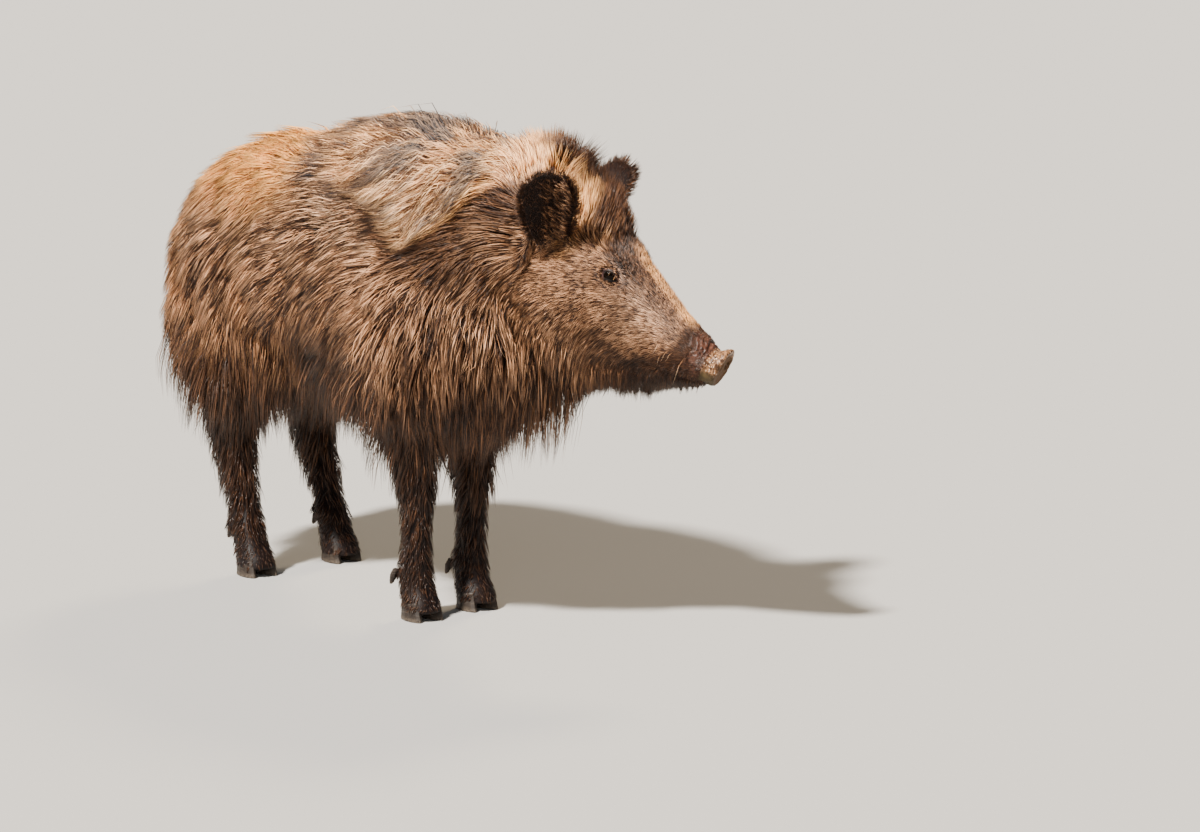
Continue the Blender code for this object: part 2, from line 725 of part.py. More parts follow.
def make_dewclaw(leg, toe, animal):
    foot_x, foot_y = FEET[leg]
    side = math.copysign(1.0, foot_y) * (1.0 if toe == "outer" else -1.0)
    x, y, z = DEWCLAW_AT
    if leg.startswith("hind"):
        x += HIND_DEWCLAW_SHIFT[0]
        z += HIND_DEWCLAW_SHIFT[1]
    aim = Vector((DEWCLAW_AIM[0], side * DEWCLAW_AIM[1], DEWCLAW_AIM[2])).normalized()
    root = Vector((foot_x + x, foot_y + side * y, z)) - aim * 0.004
    turn = aim.to_track_quat("Z", "Y").to_matrix().to_4x4()
    mesh_data = bmesh.new()
    rings = []
    for share, size in DEWCLAW_PROFILE:
        ring = ring_points(
            Vector((0, 0, DEWCLAW_LENGTH * share)),
            Vector((1, 0, 0)),
            Vector((0, 1, 0)),
            DEWCLAW_RADIUS * size,
            DEWCLAW_RADIUS * size * 0.8,
            DEWCLAW_RADIUS * size * 0.8,
            8,
            1.0,
        )
        rings.append([Matrix.Translation(root) @ turn @ point for point in ring])
    loft(mesh_data, rings)
    finish_normals(mesh_data)
    return object_from_bmesh(f"{leg}_dewclaw_{toe}", mesh_data, animal)


def coronet_cutter(leg, tools):
    """Everything over the sloping coronet of one foot, to trim its leg with."""
    foot_x, foot_y = FEET[leg]
    angle = math.atan(CORONET_SLOPE)
    front = CLAW_HEEL + CLAW_LENGTH
    frame = Matrix.Translation((foot_x + front, foot_y, CORONET_FRONT)) @ Matrix.Rotation(-angle, 4, "Y")
    upward = frame @ Matrix.Rotation(-math.pi / 2, 4, "Y")
    return slab_cutter("coronet", upward, 0.0, 2.0, tools)


def move_to_origin(objects):
    """Moves all pieces so that the origin lies under the middle of the animal's box."""
    corners = np.array([vertex.co for obj in objects for vertex in obj.data.vertices])
    low, high = corners.min(axis=0), corners.max(axis=0)
    shift = Vector((-(low[0] + high[0]) / 2, -(low[1] + high[1]) / 2, -low[2]))
    for obj in objects:
        obj.data.transform(Matrix.Translation(shift))


def main():
    clear_scene()
    animal = make_collection("wild_boar")
    tools = make_collection("cutters", shown=False)
    form = fused_form(tools)
    eyes = {side: make_eye(side, animal) for side in SIDES}
    ears = {side: make_ear(side, animal) for side in SIDES}
    disc = make_disc(animal)
    tail = make_tail(animal)
    whole = inflated(form, "form_grown", tools)
    ears = {side: combine(ear, whole, "DIFFERENCE") for side, ear in ears.items()}
    tail = combine(tail, whole, "DIFFERENCE")
    drop(whole)
    pieces = part_form(form, animal, tools)
    for side in SIDES:
        socket = inflated(eyes[side], "socket", tools)
        opening = eye_space(side, tools)
        pieces["head"] = combine(pieces["head"], opening, "DIFFERENCE")
        pieces["head"] = combine(pieces["head"], socket, "DIFFERENCE")
        drop(socket)
        drop(opening)
    for side in SIDES:
        cutter = nostril_cutter(side, tools)
        disc = combine(disc, cutter, "DIFFERENCE")
        drop(cutter)
    grown_disc = inflated(disc, "disc_space", tools)
    pieces["head"] = combine(pieces["head"], grown_disc, "DIFFERENCE")
    drop(grown_disc)
    claws = []
    for leg in FEET:
        cutter = coronet_cutter(leg, tools)
        pieces[leg] = combine(pieces[leg], cutter, "INTERSECT")
        drop(cutter)
        for toe in ("outer", "inner"):
            claws.append(make_claw(leg, toe, animal))
            dewclaw = make_dewclaw(leg, toe, animal)
            space = inflated(dewclaw, "dewclaw_space", tools)
            pieces[leg] = combine(pieces[leg], space, "DIFFERENCE")
            drop(space)
            claws.append(dewclaw)
    flesh = [*pieces.values(), *ears.values(), tail, disc]
    for obj in flesh:
        keep_largest(obj)
    finishes = {
        "coat": make_material("coat", COAT_COLOUR, 0.75),
        "dark_coat": make_material("dark_coat", DARK_COAT, 0.75),
        "snout": make_material("snout", SNOUT_COLOUR, 0.45),
        "horn": make_material("horn", HORN_COLOUR, 0.5),
        "eye": make_material("eye", EYE_COLOUR, 0.08),
    }
    worn = [(obj, "coat") for obj in pieces.values()]
    worn += [(obj, "dark_coat") for obj in (*ears.values(), tail)]
    worn += [(disc, "snout")] + [(claw, "horn") for claw in claws] + [(eye, "eye") for eye in eyes.values()]
    for obj, finish in worn:
        obj.data.materials.clear()
        obj.data.materials.append(finishes[finish])
        obj.data.shade_smooth()
        obj.data.set_sharp_from_angle(angle=math.radians(40))
    move_to_origin([obj for obj, finish in worn])


main()
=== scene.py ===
"""The looks of a life-size wild boar: one skin, its coat of tufts, eyes, claws, studio and camera.

The skin is a loft between named sections, as deep under the solids' outline as the coat is long. It
carries the lie, length and markings of the coat, and every tuft takes these from the place it grows
at. All shaping happens in stance coordinates: metres, +X the way the trunk faces, +Y the animal's
left, +Z up, with the origin on the floor between the forefeet. SHIFT then moves a finished piece
into the frame.
"""

import math

import bmesh
import bpy
import numpy as np
from mathutils import Matrix, Vector
from mathutils.bvhtree import BVHTree
from mathutils.kdtree import KDTree


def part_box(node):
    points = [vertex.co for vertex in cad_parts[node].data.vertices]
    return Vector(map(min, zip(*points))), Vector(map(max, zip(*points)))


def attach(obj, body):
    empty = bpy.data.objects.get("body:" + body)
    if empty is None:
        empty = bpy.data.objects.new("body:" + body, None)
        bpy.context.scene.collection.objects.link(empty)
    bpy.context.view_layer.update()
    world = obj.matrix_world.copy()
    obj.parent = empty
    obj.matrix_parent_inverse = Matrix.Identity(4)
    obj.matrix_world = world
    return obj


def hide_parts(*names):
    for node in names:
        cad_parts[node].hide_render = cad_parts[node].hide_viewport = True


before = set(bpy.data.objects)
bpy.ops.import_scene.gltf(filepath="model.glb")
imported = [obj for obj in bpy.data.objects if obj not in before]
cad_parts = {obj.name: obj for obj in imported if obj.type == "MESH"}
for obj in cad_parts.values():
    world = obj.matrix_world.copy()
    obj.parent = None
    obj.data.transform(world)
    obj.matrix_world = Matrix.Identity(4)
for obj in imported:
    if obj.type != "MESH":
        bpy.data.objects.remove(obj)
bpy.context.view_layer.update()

SIDES = {"right": -1.0, "left": 1.0}
LEGS = ("foreleg_right", "foreleg_left", "hindleg_right", "hindleg_left")
MARKS = ("gold", "pale", "dark", "grey", "wet")
AHEAD = Vector((1, 0, 0))
LEFT = Vector((0, 1, 0))
UP = Vector((0, 0, 1))

# ---------------------------------------------------------------- the head's place and the shift

HEAD_AT = Vector((0.260, 0.063, 0.622))
HEAD_TURN = math.radians(33.0)
HEAD_NOD = math.radians(27.0)
EYE_AT = (0.0890, 0.0475, -0.005)  # of the left eye, in the head's frame
EYE_RADIUS = 0.0115


def head_matrix():
    turn = Matrix.Rotation(HEAD_TURN, 4, "Z")
    nod = Matrix.Rotation(HEAD_NOD, 4, "Y")
    return Matrix.Translation(HEAD_AT) @ turn @ nod


HEAD = head_matrix()
HEAD_TURNED = np.array(HEAD.to_3x3())
HEAD_PLACE = np.array(HEAD.translation)


def found_shift():
    """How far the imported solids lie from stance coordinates, read off the right eye's box."""
    low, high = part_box("eye_right")
    x, y, z = EYE_AT
    return (low + high) / 2 - HEAD @ Vector((x, -y, z))


SHIFT = found_shift()


def to_head(points):
    return (points - HEAD_PLACE) @ HEAD_TURNED


def from_head(points):
    return points @ HEAD_TURNED.T + HEAD_PLACE


def on_side(place, side):
    """A place or direction given for the left side, on this side."""
    return np.array((place[0], SIDES[side] * place[1], place[2]))


def ramp(values, none_at, all_at):
    """0 at none_at and 1 at all_at, with an eased run between."""
    share = np.clip((values - none_at) / (all_at - none_at), 0.0, 1.0)
    return share * share * (3 - 2 * share)


def bump(values, middle, width):
    return np.exp(-(((values - middle) / width) ** 2))


def unit(vectors):
    return vectors / np.maximum(np.linalg.norm(vectors, axis=-1, keepdims=True), 1e-9)


def blend(a, b, share):
    return a + (b - a) * share[..., None]


def cell_keys(cells):
    """A well mixed whole number for each cell of a grid."""
    x, y, z = cells.T
    return (x * 73856093) ^ (y * 19349663) ^ (z * 83492791)


def wander(points, size, seed):
    """Smooth noise from -1 to 1 on a grid of the given cell size."""
    cells = points / size + 0.37 * seed
    base = np.floor(cells).astype(np.int64)
    part = cells - base
    part = part * part * (3 - 2 * part)
    total = np.zeros(len(points))
    for corner in range(8):
        step = np.array([corner & 1, corner >> 1 & 1, corner >> 2 & 1])
        mixed = cell_keys(base + step) ^ (seed * 2654435761)
        mixed = (mixed ^ (mixed >> 13)) * 1274126177
        value = ((mixed ^ (mixed >> 16)) & 65535) / 32767.5 - 1
        weight = np.prod(np.where(step, part, 1 - part), axis=1)
        total += value * weight
    return total


# ---------------------------------------------------------------- the skin's plan

# Trunk sections: x, top, bottom, half width.
TRUNK = [
    (-0.664, 0.550, 0.455, 0.038),
    (-0.646, 0.590, 0.420, 0.074),
    (-0.602, 0.634, 0.392, 0.110),
    (-0.530, 0.674, 0.380, 0.134),
    (-0.430, 0.704, 0.378, 0.146),
    (-0.300, 0.718, 0.372, 0.151),
    (-0.180, 0.731, 0.360, 0.154),
    (-0.060, 0.741, 0.350, 0.154),
    (0.050, 0.727, 0.346, 0.148),
    (0.130, 0.700, 0.366, 0.132),
    (0.190, 0.668, 0.410, 0.108),
    (0.232, 0.634, 0.450, 0.074),
]

# Neck sections: share of the way, half width, rise, drop, narrowing at the top and at the bottom.
NECK = [
    (0.00, 0.134, 0.190, 0.190, 0.05, 0.00),
    (0.35, 0.124, 0.166, 0.200, 0.12, 0.08),
    (0.70, 0.108, 0.160, 0.212, 0.20, 0.16),
    (1.00, 0.092, 0.132, 0.206, 0.26, 0.22),
]
NECK_START = Vector((0.060, 0.000, 0.538))
NECK_END = (-0.035, 0.000, -0.030)  # in the head's frame
NECK_NOD_SHARE = 0.55

# Head sections in its own frame: x, top, bottom, half width, narrowing at the top and the bottom.
HEAD_SECTIONS = [
    (-0.105, 0.054, -0.146, 0.071, 0.26, 0.34),
    (-0.060, 0.074, -0.172, 0.079, 0.26, 0.38),
    (-0.015, 0.078, -0.182, 0.078, 0.24, 0.42),
    (0.035, 0.062, -0.182, 0.075, 0.18, 0.46),
    (0.085, 0.043, -0.172, 0.067, 0.14, 0.46),
    (0.130, 0.0245, -0.154, 0.057, 0.10, 0.42),
    (0.172, 0.0060, -0.138, 0.048, 0.10, 0.32),
    (0.214, -0.0110, -0.123, 0.041, 0.08, 0.22),
    (0.240, -0.0195, -0.110, 0.0365, 0.06, 0.14),
    (0.258, -0.0250, -0.102, 0.0335, 0.02, 0.08),
    (0.270, -0.0305, -0.097, 0.0305, 0.00, 0.04),
    (0.281, -0.0325, -0.092, 0.0275, 0.00, 0.02),
    (0.290, -0.0275, -0.0885, 0.0268, 0.00, 0.00),
    (0.2960, -0.0225, -0.0875, 0.0280, 0.00, 0.00),
    (0.3005, -0.0215, -0.0865, 0.0276, 0.00, 0.00),
]
TRUNK_SIDES = 56
HEAD_SIDES = 56
LEG_SIDES = 36
TAIL_SIDES = 16
TRUNK_MIDDLE = 0.46
HEAD_MIDDLE = 0.42
TRUNK_FULLNESS = 0.86
HEAD_FULLNESS = 0.90
LEG_FULLNESS = 0.95

# Leg sections: height, forward and outward shift from the foot, half length, half width.
FORELEG = [
    (0.520, -0.030, 0.030, 0.105, 0.045),
    (0.450, -0.028, 0.022, 0.088, 0.048),
    (0.385, -0.022, 0.014, 0.066, 0.043),
    (0.320, -0.012, 0.008, 0.046, 0.034),
    (0.260, -0.004, 0.004, 0.034, 0.028),
    (0.205, 0.002, 0.001, 0.027, 0.025),
    (0.160, 0.000, 0.000, 0.021, 0.020),
    (0.110, -0.002, 0.000, 0.021, 0.020),
    (0.080, -0.006, 0.000, 0.026, 0.024),
    (0.050, 0.000, 0.000, 0.027, 0.026),
    (0.030, 0.008, 0.000, 0.031, 0.029),
    (0.012, 0.012, 0.000, 0.033, 0.030),
]
HINDLEG = [
    (0.560, -0.045, 0.006, 0.118, 0.048),
    (0.480, -0.050, 0.008, 0.118, 0.056),
    (0.410, -0.046, 0.008, 0.104, 0.056),
    (0.345, -0.040, 0.006, 0.082, 0.046),
    (0.285, -0.042, 0.003, 0.056, 0.036),
    (0.235, -0.052, 0.001, 0.041, 0.028),
    (0.200, -0.050, 0.000, 0.035, 0.025),
    (0.160, -0.038, 0.000, 0.027, 0.022),
    (0.110, -0.022, 0.000, 0.022, 0.020),
    (0.078, -0.013, 0.000, 0.026, 0.024),
    (0.050, -0.003, 0.000, 0.027, 0.026),
    (0.030, 0.008, 0.000, 0.031, 0.029),
    (0.012, 0.012, 0.000, 0.033, 0.030),
]
FEET = {
    "foreleg_right": (0.000, -0.060),
    "foreleg_left": (-0.018, 0.056),
    "hindleg_right": (-0.446, -0.090),
    "hindleg_left": (-0.466, 0.086),
}
DEWCLAW_SWELLING = (-0.027, 0.0160, 0.080)  # behind and beside the middle of the foot
DEWCLAW_HALF_AXES = (0.0155, 0.0105, 0.0180)
HIND_DEWCLAW_SHIFT = (0.004, 0.006)
HOCK_BACK = {"hindleg_left": -0.018}
HOCK_HEIGHT = 0.22
HOCK_SPAN = 0.10

# Shoulder, haunch and thigh, then jowl, brow, lids and ear base: centre and half axes, for the left
# side. The head's are in its own frame.
BODY_MASSES = [
    ((-0.010, 0.092, 0.500), (0.125, 0.068, 0.165)),
    ((-0.455, 0.084, 0.490), (0.150, 0.076, 0.165)),
    ((-0.552, 0.074, 0.420), (0.088, 0.070, 0.110)),
]
HEAD_MASSES = [
    ((0.018, 0.042, -0.084), (0.080, 0.050, 0.074)),
    ((0.078, 0.036, 0.012), (0.036, 0.018, 0.017)),
    ((0.088, 0.038, -0.007), (0.036, 0.0165, 0.024)),
    ((-0.008, 0.054, -0.006), (0.032, 0.020, 0.034)),
]

EAR_ROOT = (-0.008, 0.070, -0.004)
EAR_LENGTH = 0.141
EAR_HALF_WIDTH = 0.0395
EAR_LEAN = {"right": (-0.26, -0.54, 0.80), "left": (-0.22, 0.68, 0.64)}
EAR_FACING = {"right": (0.44, -0.86, 0.18), "left": (0.22, 0.96, 0.10)}
EAR_THICKNESS = 0.0075
EAR_CUP = math.radians(118.0)
EAR_UNCUPPED = 0.45
EAR_ROWS = 25

TAIL_ROOT = np.array((-0.612, 0.0, 0.560))
TAIL_POINTS = [
    (0.0, 0.0, 0.0),
    (-0.050, 0.004, -0.012),
    (-0.074, 0.010, -0.070),
    (-0.070, 0.016, -0.155),
    (-0.067, 0.018, -0.215),
]
TAIL_THICKNESS = [0.017, 0.013, 0.010, 0.007, 0.004]

SKIN_VOXEL = 0.0028
SKIN_EASING = 4
BODY_EASING = 60
SKIN_TRIANGLES = 104000
LEAST_COAT = 0.0042

CLAW_FRONT_CORONET = 0.034


def spline_rows(rows, steps):
    """The rows with steps - 1 more rows eased in between each two, on a Catmull-Rom curve."""
    table = [np.array(row, float) for row in rows]
    table = [2 * table[0] - table[1], *table, 2 * table[-1] - table[-2]]
    eased = []
    for a, b, c, d in zip(table, table[1:], table[2:], table[3:]):
        for step in range(steps):
            t = step / steps
            bend = 2 * a - 5 * b + 4 * c - d
            twist = 3 * b - a - 3 * c + d
            eased.append(0.5 * (2 * b + (c - a) * t + bend * t**2 + twist * t**3))
    eased.append(table[-2])
    return eased


def ring_points(
    centre, side, up, half_width, rise, drop, count, fullness=TRUNK_FULLNESS, tapers=(0.0, 0.0)
):
    """One section: a rounded outline about a centre, narrowed towards its top and bottom."""
    points = []
    for index in range(count):
        angle = 2 * math.pi * index / count
        across = math.copysign(abs(math.cos(angle)) ** fullness, math.cos(angle))
        along = math.copysign(abs(math.sin(angle)) ** fullness, math.sin(angle))
        reach, taper = (rise, tapers[0]) if along > 0 else (drop, tapers[1])
        across *= 1 - taper * abs(along)
        points.append(centre + side * (half_width * across) + up * (reach * along))
    return points


def loft(mesh_data, rings):
    """A closed skin over rings of points, each end capped by a fan."""
    loops = [[mesh_data.verts.new(point) for point in ring] for ring in rings]
    count = len(loops[0])
    for near, far in zip(loops, loops[1:]):
        for index in range(count):
            after = (index + 1) % count
            mesh_data.faces.new((near[index], near[after], far[after], far[index]))
    for loop in (loops[0], loops[-1]):
        middle = mesh_data.verts.new(sum((v.co for v in loop), Vector()) / count)
        for index in range(count):
            mesh_data.faces.new((loop[index], loop[(index + 1) % count], middle))


def add_trunk(mesh_data):
    rings = []
    for x, top, bottom, half_width in spline_rows(TRUNK, 4):
        middle = TRUNK_MIDDLE * top + (1 - TRUNK_MIDDLE) * bottom
        centre = Vector((x, 0, middle))
        rings.append(ring_points(centre, LEFT, UP, half_width, top - middle, middle - bottom, TRUNK_SIDES))
    loft(mesh_data, rings)


def add_neck(mesh_data):
    end = HEAD @ Vector(NECK_END)
    rings = []
    for share, half_width, rise, drop, *tapers in spline_rows(NECK, 5):
        facing = Matrix.Rotation(HEAD_TURN * share, 3, "Z")
        facing = facing @ Matrix.Rotation(NECK_NOD_SHARE * HEAD_NOD * share, 3, "Y")
        centre = NECK_START.lerp(end, share)
        rings.append(
            ring_points(
                centre, facing @ LEFT, facing @ UP, half_width, rise, drop, TRUNK_SIDES, tapers=tapers
            )
        )
    loft(mesh_data, rings)


def add_head(mesh_data):
    rings = []
    for x, top, bottom, half_width, *tapers in spline_rows(HEAD_SECTIONS, 4):
        middle = HEAD_MIDDLE * top + (1 - HEAD_MIDDLE) * bottom
        centre, rise, drop = Vector((x, 0, middle)), top - middle, middle - bottom
        ring = ring_points(centre, LEFT, UP, half_width, rise, drop, HEAD_SIDES, HEAD_FULLNESS, tapers)
        rings.append([HEAD @ point for point in ring])
    loft(mesh_data, rings)


def add_leg(mesh_data, name, sections):
    x, y = FEET[name]
    outward = math.copysign(1, y)
    rings = []
    for height, ahead, aside, half_length, half_width in spline_rows(sections, 3):
        back = HOCK_BACK.get(name, 0.0) * math.exp(-(((height - HOCK_HEIGHT) / HOCK_SPAN) ** 2))
        centre = Vector((x + ahead + back, y + outward * aside, height))
        rings.append(
            ring_points(centre, LEFT, AHEAD, half_width, half_length, half_length, LEG_SIDES, LEG_FULLNESS)
        )
    loft(mesh_data, rings)


def add_mass(mesh_data, centre, half_axes, placed=None):
    shape = Matrix.Translation(Vector(centre)) @ Matrix.Diagonal((*half_axes, 1.0))
    bmesh.ops.create_uvsphere(
        mesh_data, u_segments=36, v_segments=24, radius=1.0, matrix=(placed or Matrix.Identity(4)) @ shape
    )


def ear_axes(side):
    """An ear's root, the ways that it leans and faces, and the way across it, in the head's frame."""
    lean = unit(np.array(EAR_LEAN[side]))
    facing = np.array(EAR_FACING[side])
    facing = unit(facing - lean * facing.dot(lean))
    return on_side(EAR_ROOT, side), lean, facing, np.cross(lean, facing)


def ear_place(side, along, share, layer):
    """A point on the cupped leaf of an ear: along it, across it from -1 to 1, layer 1 in the hollow."""
    root, lean, facing, across = ear_axes(side)
    width = EAR_HALF_WIDTH * (0.60 + 1.02 * along) * math.sqrt(max(1 - max(along, 0.0) ** 2.6, 0.0))
    width = max(width, 0.004)
    cup = EAR_CUP * (1 - EAR_UNCUPPED * along)
    radius = width / math.sin(cup / 2)
    angle = share * cup / 2
    thick = EAR_THICKNESS * (1.25 - 0.55 * along) * (1 - 0.55 * share**2)
    offset = radius - 0.5 * layer * thick
    return (
        root
        + lean * (EAR_LENGTH * along)
        + across * (offset * math.sin(angle))
        + facing * (radius * math.cos(cup / 2) - offset * math.cos(angle))
    )


def add_ear(mesh_data, side):
    sheets = []
    for layer in (1, -1):
        grid = []
        for row in range(EAR_ROWS):
            along = row / (EAR_ROWS - 1) * 1.06 - 0.06
            line = []
            for column in range(EAR_ROWS):
                share = 2 * column / (EAR_ROWS - 1) - 1
                line.append(mesh_data.verts.new(HEAD @ Vector(ear_place(side, along, share, layer))))
            grid.append(line)
        sheets.append(grid)
    front, back = sheets
    last = EAR_ROWS - 1
    for grid in sheets:
        for row in range(last):
            for column in range(last):
                near, far = grid[row], grid[row + 1]
                mesh_data.faces.new((near[column], near[column + 1], far[column + 1], far[column]))
    border = [(row, 0) for row in range(EAR_ROWS)] + [(last, column) for column in range(1, EAR_ROWS)]
    border += [(row, last) for row in range(last - 1, -1, -1)]
    border += [(0, column) for column in range(last - 1, 0, -1)]
    for (row, column), (next_row, next_column) in zip(border, border[1:] + border[:1]):
        mesh_data.faces.new(
            (front[row][column], front[next_row][next_column], back[next_row][next_column], back[row][column])
        )


def add_tail(mesh_data):
    rows = [(*point, radius) for point, radius in zip(TAIL_POINTS, TAIL_THICKNESS)]
    eased = spline_rows(rows, 4)
    places = [Vector(row[:3]) + Vector(TAIL_ROOT) for row in eased]
    rings = []
    for index, row in enumerate(eased):
        ahead = places[min(index + 1, len(places) - 1)] - places[max(index - 1, 0)]
        up = ahead.cross(LEFT).normalized()
        rings.append(ring_points(places[index], LEFT, up, row[3], row[3], row[3], TAIL_SIDES, 1.0))
    loft(mesh_data, rings)


def object_from_bmesh(name, mesh_data):
    mesh = bpy.data.meshes.new(name)
    mesh_data.to_mesh(mesh)
    mesh_data.free()
    obj = bpy.data.objects.new(name, mesh)
    bpy.context.scene.collection.objects.link(obj)
    return obj


def baked(obj, name):
    """The object as its modifiers leave it, as a plain mesh of its own; the first one is removed."""
    graph = bpy.context.evaluated_depsgraph_get()
    mesh = bpy.data.meshes.new_from_object(obj.evaluated_get(graph))
    made = bpy.data.objects.new(name, mesh)
    bpy.context.scene.collection.objects.link(made)
    bpy.data.objects.remove(obj)
    return made


def vertices_of(mesh):
    flat = np.empty(len(mesh.vertices) * 3, np.float32)
    mesh.vertices.foreach_get("co", flat)
    return flat.reshape(-1, 3).astype(float)


def normals_of(mesh):
    flat = np.empty(len(mesh.vertices) * 3, np.float32)
    mesh.vertex_normals.foreach_get("vector", flat)
    return flat.reshape(-1, 3).astype(float)


def triangles_of(mesh):
    mesh.calc_loop_triangles()
    flat = np.empty(len(mesh.loop_triangles) * 3, np.int32)
    mesh.loop_triangles.foreach_get("vertices", flat)
    return flat.reshape(-1, 3)


def set_vertices(mesh, points):
    mesh.vertices.foreach_set("co", points.astype(np.float32).ravel())
    mesh.update()


def keep_value(mesh, name, values):
    found = mesh.attributes.get(name) or mesh.attributes.new(name, "FLOAT", "POINT")
    found.data.foreach_set("value", np.asarray(values, np.float32))


def keep_vector(mesh, name, vectors):
    found = mesh.attributes.get(name) or mesh.attributes.new(name, "FLOAT_VECTOR", "POINT")
    found.data.foreach_set("vector", np.asarray(vectors, np.float32).ravel())


def weigh_group(obj, name, weights):
    """A vertex group with these weights, in steps of a fiftieth."""
    group = obj.vertex_groups.new(name=name)
    steps = np.round(np.asarray(weights) * 50).astype(int)
    for step in np.unique(steps):
        group.add(np.nonzero(steps == step)[0].tolist(), step / 50, "REPLACE")


def fused_skin():
    """Trunk, neck, head, ears, legs and tail as one smooth form, finest on the head and feet."""
    mesh_data = bmesh.new()
    add_trunk(mesh_data)
    add_neck(mesh_data)
    add_head(mesh_data)
    add_tail(mesh_data)
    for name in LEGS:
        fore = name.startswith("fore")
        add_leg(mesh_data, name, FORELEG if fore else HINDLEG)
        behind, beside, height = DEWCLAW_SWELLING
        shift, rise = (0.0, 0.0) if fore else HIND_DEWCLAW_SHIFT
        for side in (-1, 1):
            centre = (FEET[name][0] + behind + shift, FEET[name][1] + side * beside, height + rise)
            add_mass(mesh_data, centre, DEWCLAW_HALF_AXES)
    for side in SIDES:
        add_ear(mesh_data, side)
        for centre, half_axes in BODY_MASSES:
            add_mass(mesh_data, on_side(centre, side), half_axes)
        for centre, half_axes in HEAD_MASSES:
            add_mass(mesh_data, on_side(centre, side), half_axes, HEAD)
    bmesh.ops.recalc_face_normals(mesh_data, faces=mesh_data.faces)
    rough = object_from_bmesh("rough_skin", mesh_data)
    remesh = rough.modifiers.new("fuse", "REMESH")
    remesh.mode = "VOXEL"
    remesh.voxel_size = SKIN_VOXEL
    fused = baked(rough, "fused_skin")
    points = vertices_of(fused.data)
    local = to_head(points)
    on_head = ramp(local[:, 0], -0.06, 0.02)
    on_ear = ramp(local[:, 2], 0.045, 0.06) * ramp(local[:, 0], -0.14, -0.10)
    on_foot = ramp(points[:, 2], 0.26, 0.16)
    on_tail = ramp(points[:, 0], -0.655, -0.668)
    fine = np.maximum.reduce([on_head, on_foot, on_ear, on_tail])
    weigh_group(fused, "thinned", 1 - 0.85 * fine)
    on_leg = ramp(points[:, 2], 0.34, 0.26)
    weigh_group(fused, "eased", 1 - np.maximum.reduce([on_head, on_leg, on_ear, on_tail]))
    for iterations, group in ((SKIN_EASING, ""), (BODY_EASING, "eased")):
        smooth = fused.modifiers.new("ease", "SMOOTH")
        smooth.factor = 0.5
        smooth.iterations = iterations
        smooth.vertex_group = group
    thin = fused.modifiers.new("thin", "DECIMATE")
    thin.ratio = SKIN_TRIANGLES / (2 * len(fused.data.polygons))
    thin.vertex_group = "thinned"
    thin.vertex_group_factor = 0.00012
    thin.use_collapse_triangulate = True
    return baked(fused, "skin")


def leave_triangles(mesh_data):
    bmesh.ops.triangulate(mesh_data, faces=[face for face in mesh_data.faces if len(face.verts) > 3])


def refine(mesh_data, wanted):
    """Halves the edges whose two ends are wanted, and leaves only triangles."""
    edges = [edge for edge in mesh_data.edges if wanted[edge.verts[0].index] and wanted[edge.verts[1].index]]
    bmesh.ops.subdivide_edges(mesh_data, edges=edges, cuts=1, use_grid_fill=True, smooth=0.35)
    leave_triangles(mesh_data)
    mesh_data.verts.ensure_lookup_table()
    mesh_data.verts.index_update()


def bmesh_points(mesh_data):
    return np.array([vertex.co for vertex in mesh_data.verts])


# ---------------------------------------------------------------- folds of the face

EYE_OUT = (0.17, 0.96, 0.12)
EYE_FORWARD = (1.0, 0.0, -0.12)
EYE_HALF_LENGTH = 0.0108
EYE_RISE = 0.0061
EYE_DROP = 0.0056
EYE_BEHIND = -0.006
EYE_REFINED = (0.031, 0.025, 0.0155)
LIDS_REACH = 0.030
# Folds and the furrows between them: height, distance from the opening, width, 1 over the eye or -1
# under it, and the heights at which each begins and is whole.
LID_FOLDS = [
    (-0.0014, 0.0056, 0.0011, 1, 0.0, 0.003),
    (0.0011, 0.0084, 0.0018, 1, 0.0, 0.003),
    (-0.0012, 0.0046, 0.0009, -1, 0.0, 0.003),
    (0.0008, 0.0066, 0.0012, -1, 0.0, 0.003),
    (-0.0009, 0.0092, 0.0011, -1, 0.001, 0.004),
]
LID = 0.0013
DISC_MIDDLE = -0.054
DISC_HALF = (0.0280, 0.0330)
NOSTRIL = (0.0135, -0.0510)
NOSTRIL_HALF = (0.0062, 0.0080)


def eye_axes(side):
    """Outward, towards the snout, and up, for one eye, in the head's frame."""
    out = unit(on_side(EYE_OUT, side))
    forward = np.array(EYE_FORWARD)
    forward = unit(forward - out * forward.dot(out))
    up = np.cross(out, forward) * -SIDES[side]
    return out, forward, up if up[2] > 0 else -up


def eye_coordinates(local, side):
    out, forward, up = eye_axes(side)
    rel = local - on_side(EYE_AT, side)
    return rel @ out, rel @ forward, rel @ up


def opening_gap(ahead, high):
    """How far outside the opening between the lids a place lies; inside it the gap is below zero."""
    share = np.clip(np.abs(ahead) / EYE_HALF_LENGTH, 0, 1)
    upper = EYE_RISE * (1 - share**2) ** 0.70
    lower = EYE_DROP * (1 - share**2) ** 0.80
    gap = np.where(high > 0, high - upper, -high - lower)
    past = np.abs(ahead) - EYE_HALF_LENGTH
    return np.where(past > 0, np.hypot(past, high), gap)


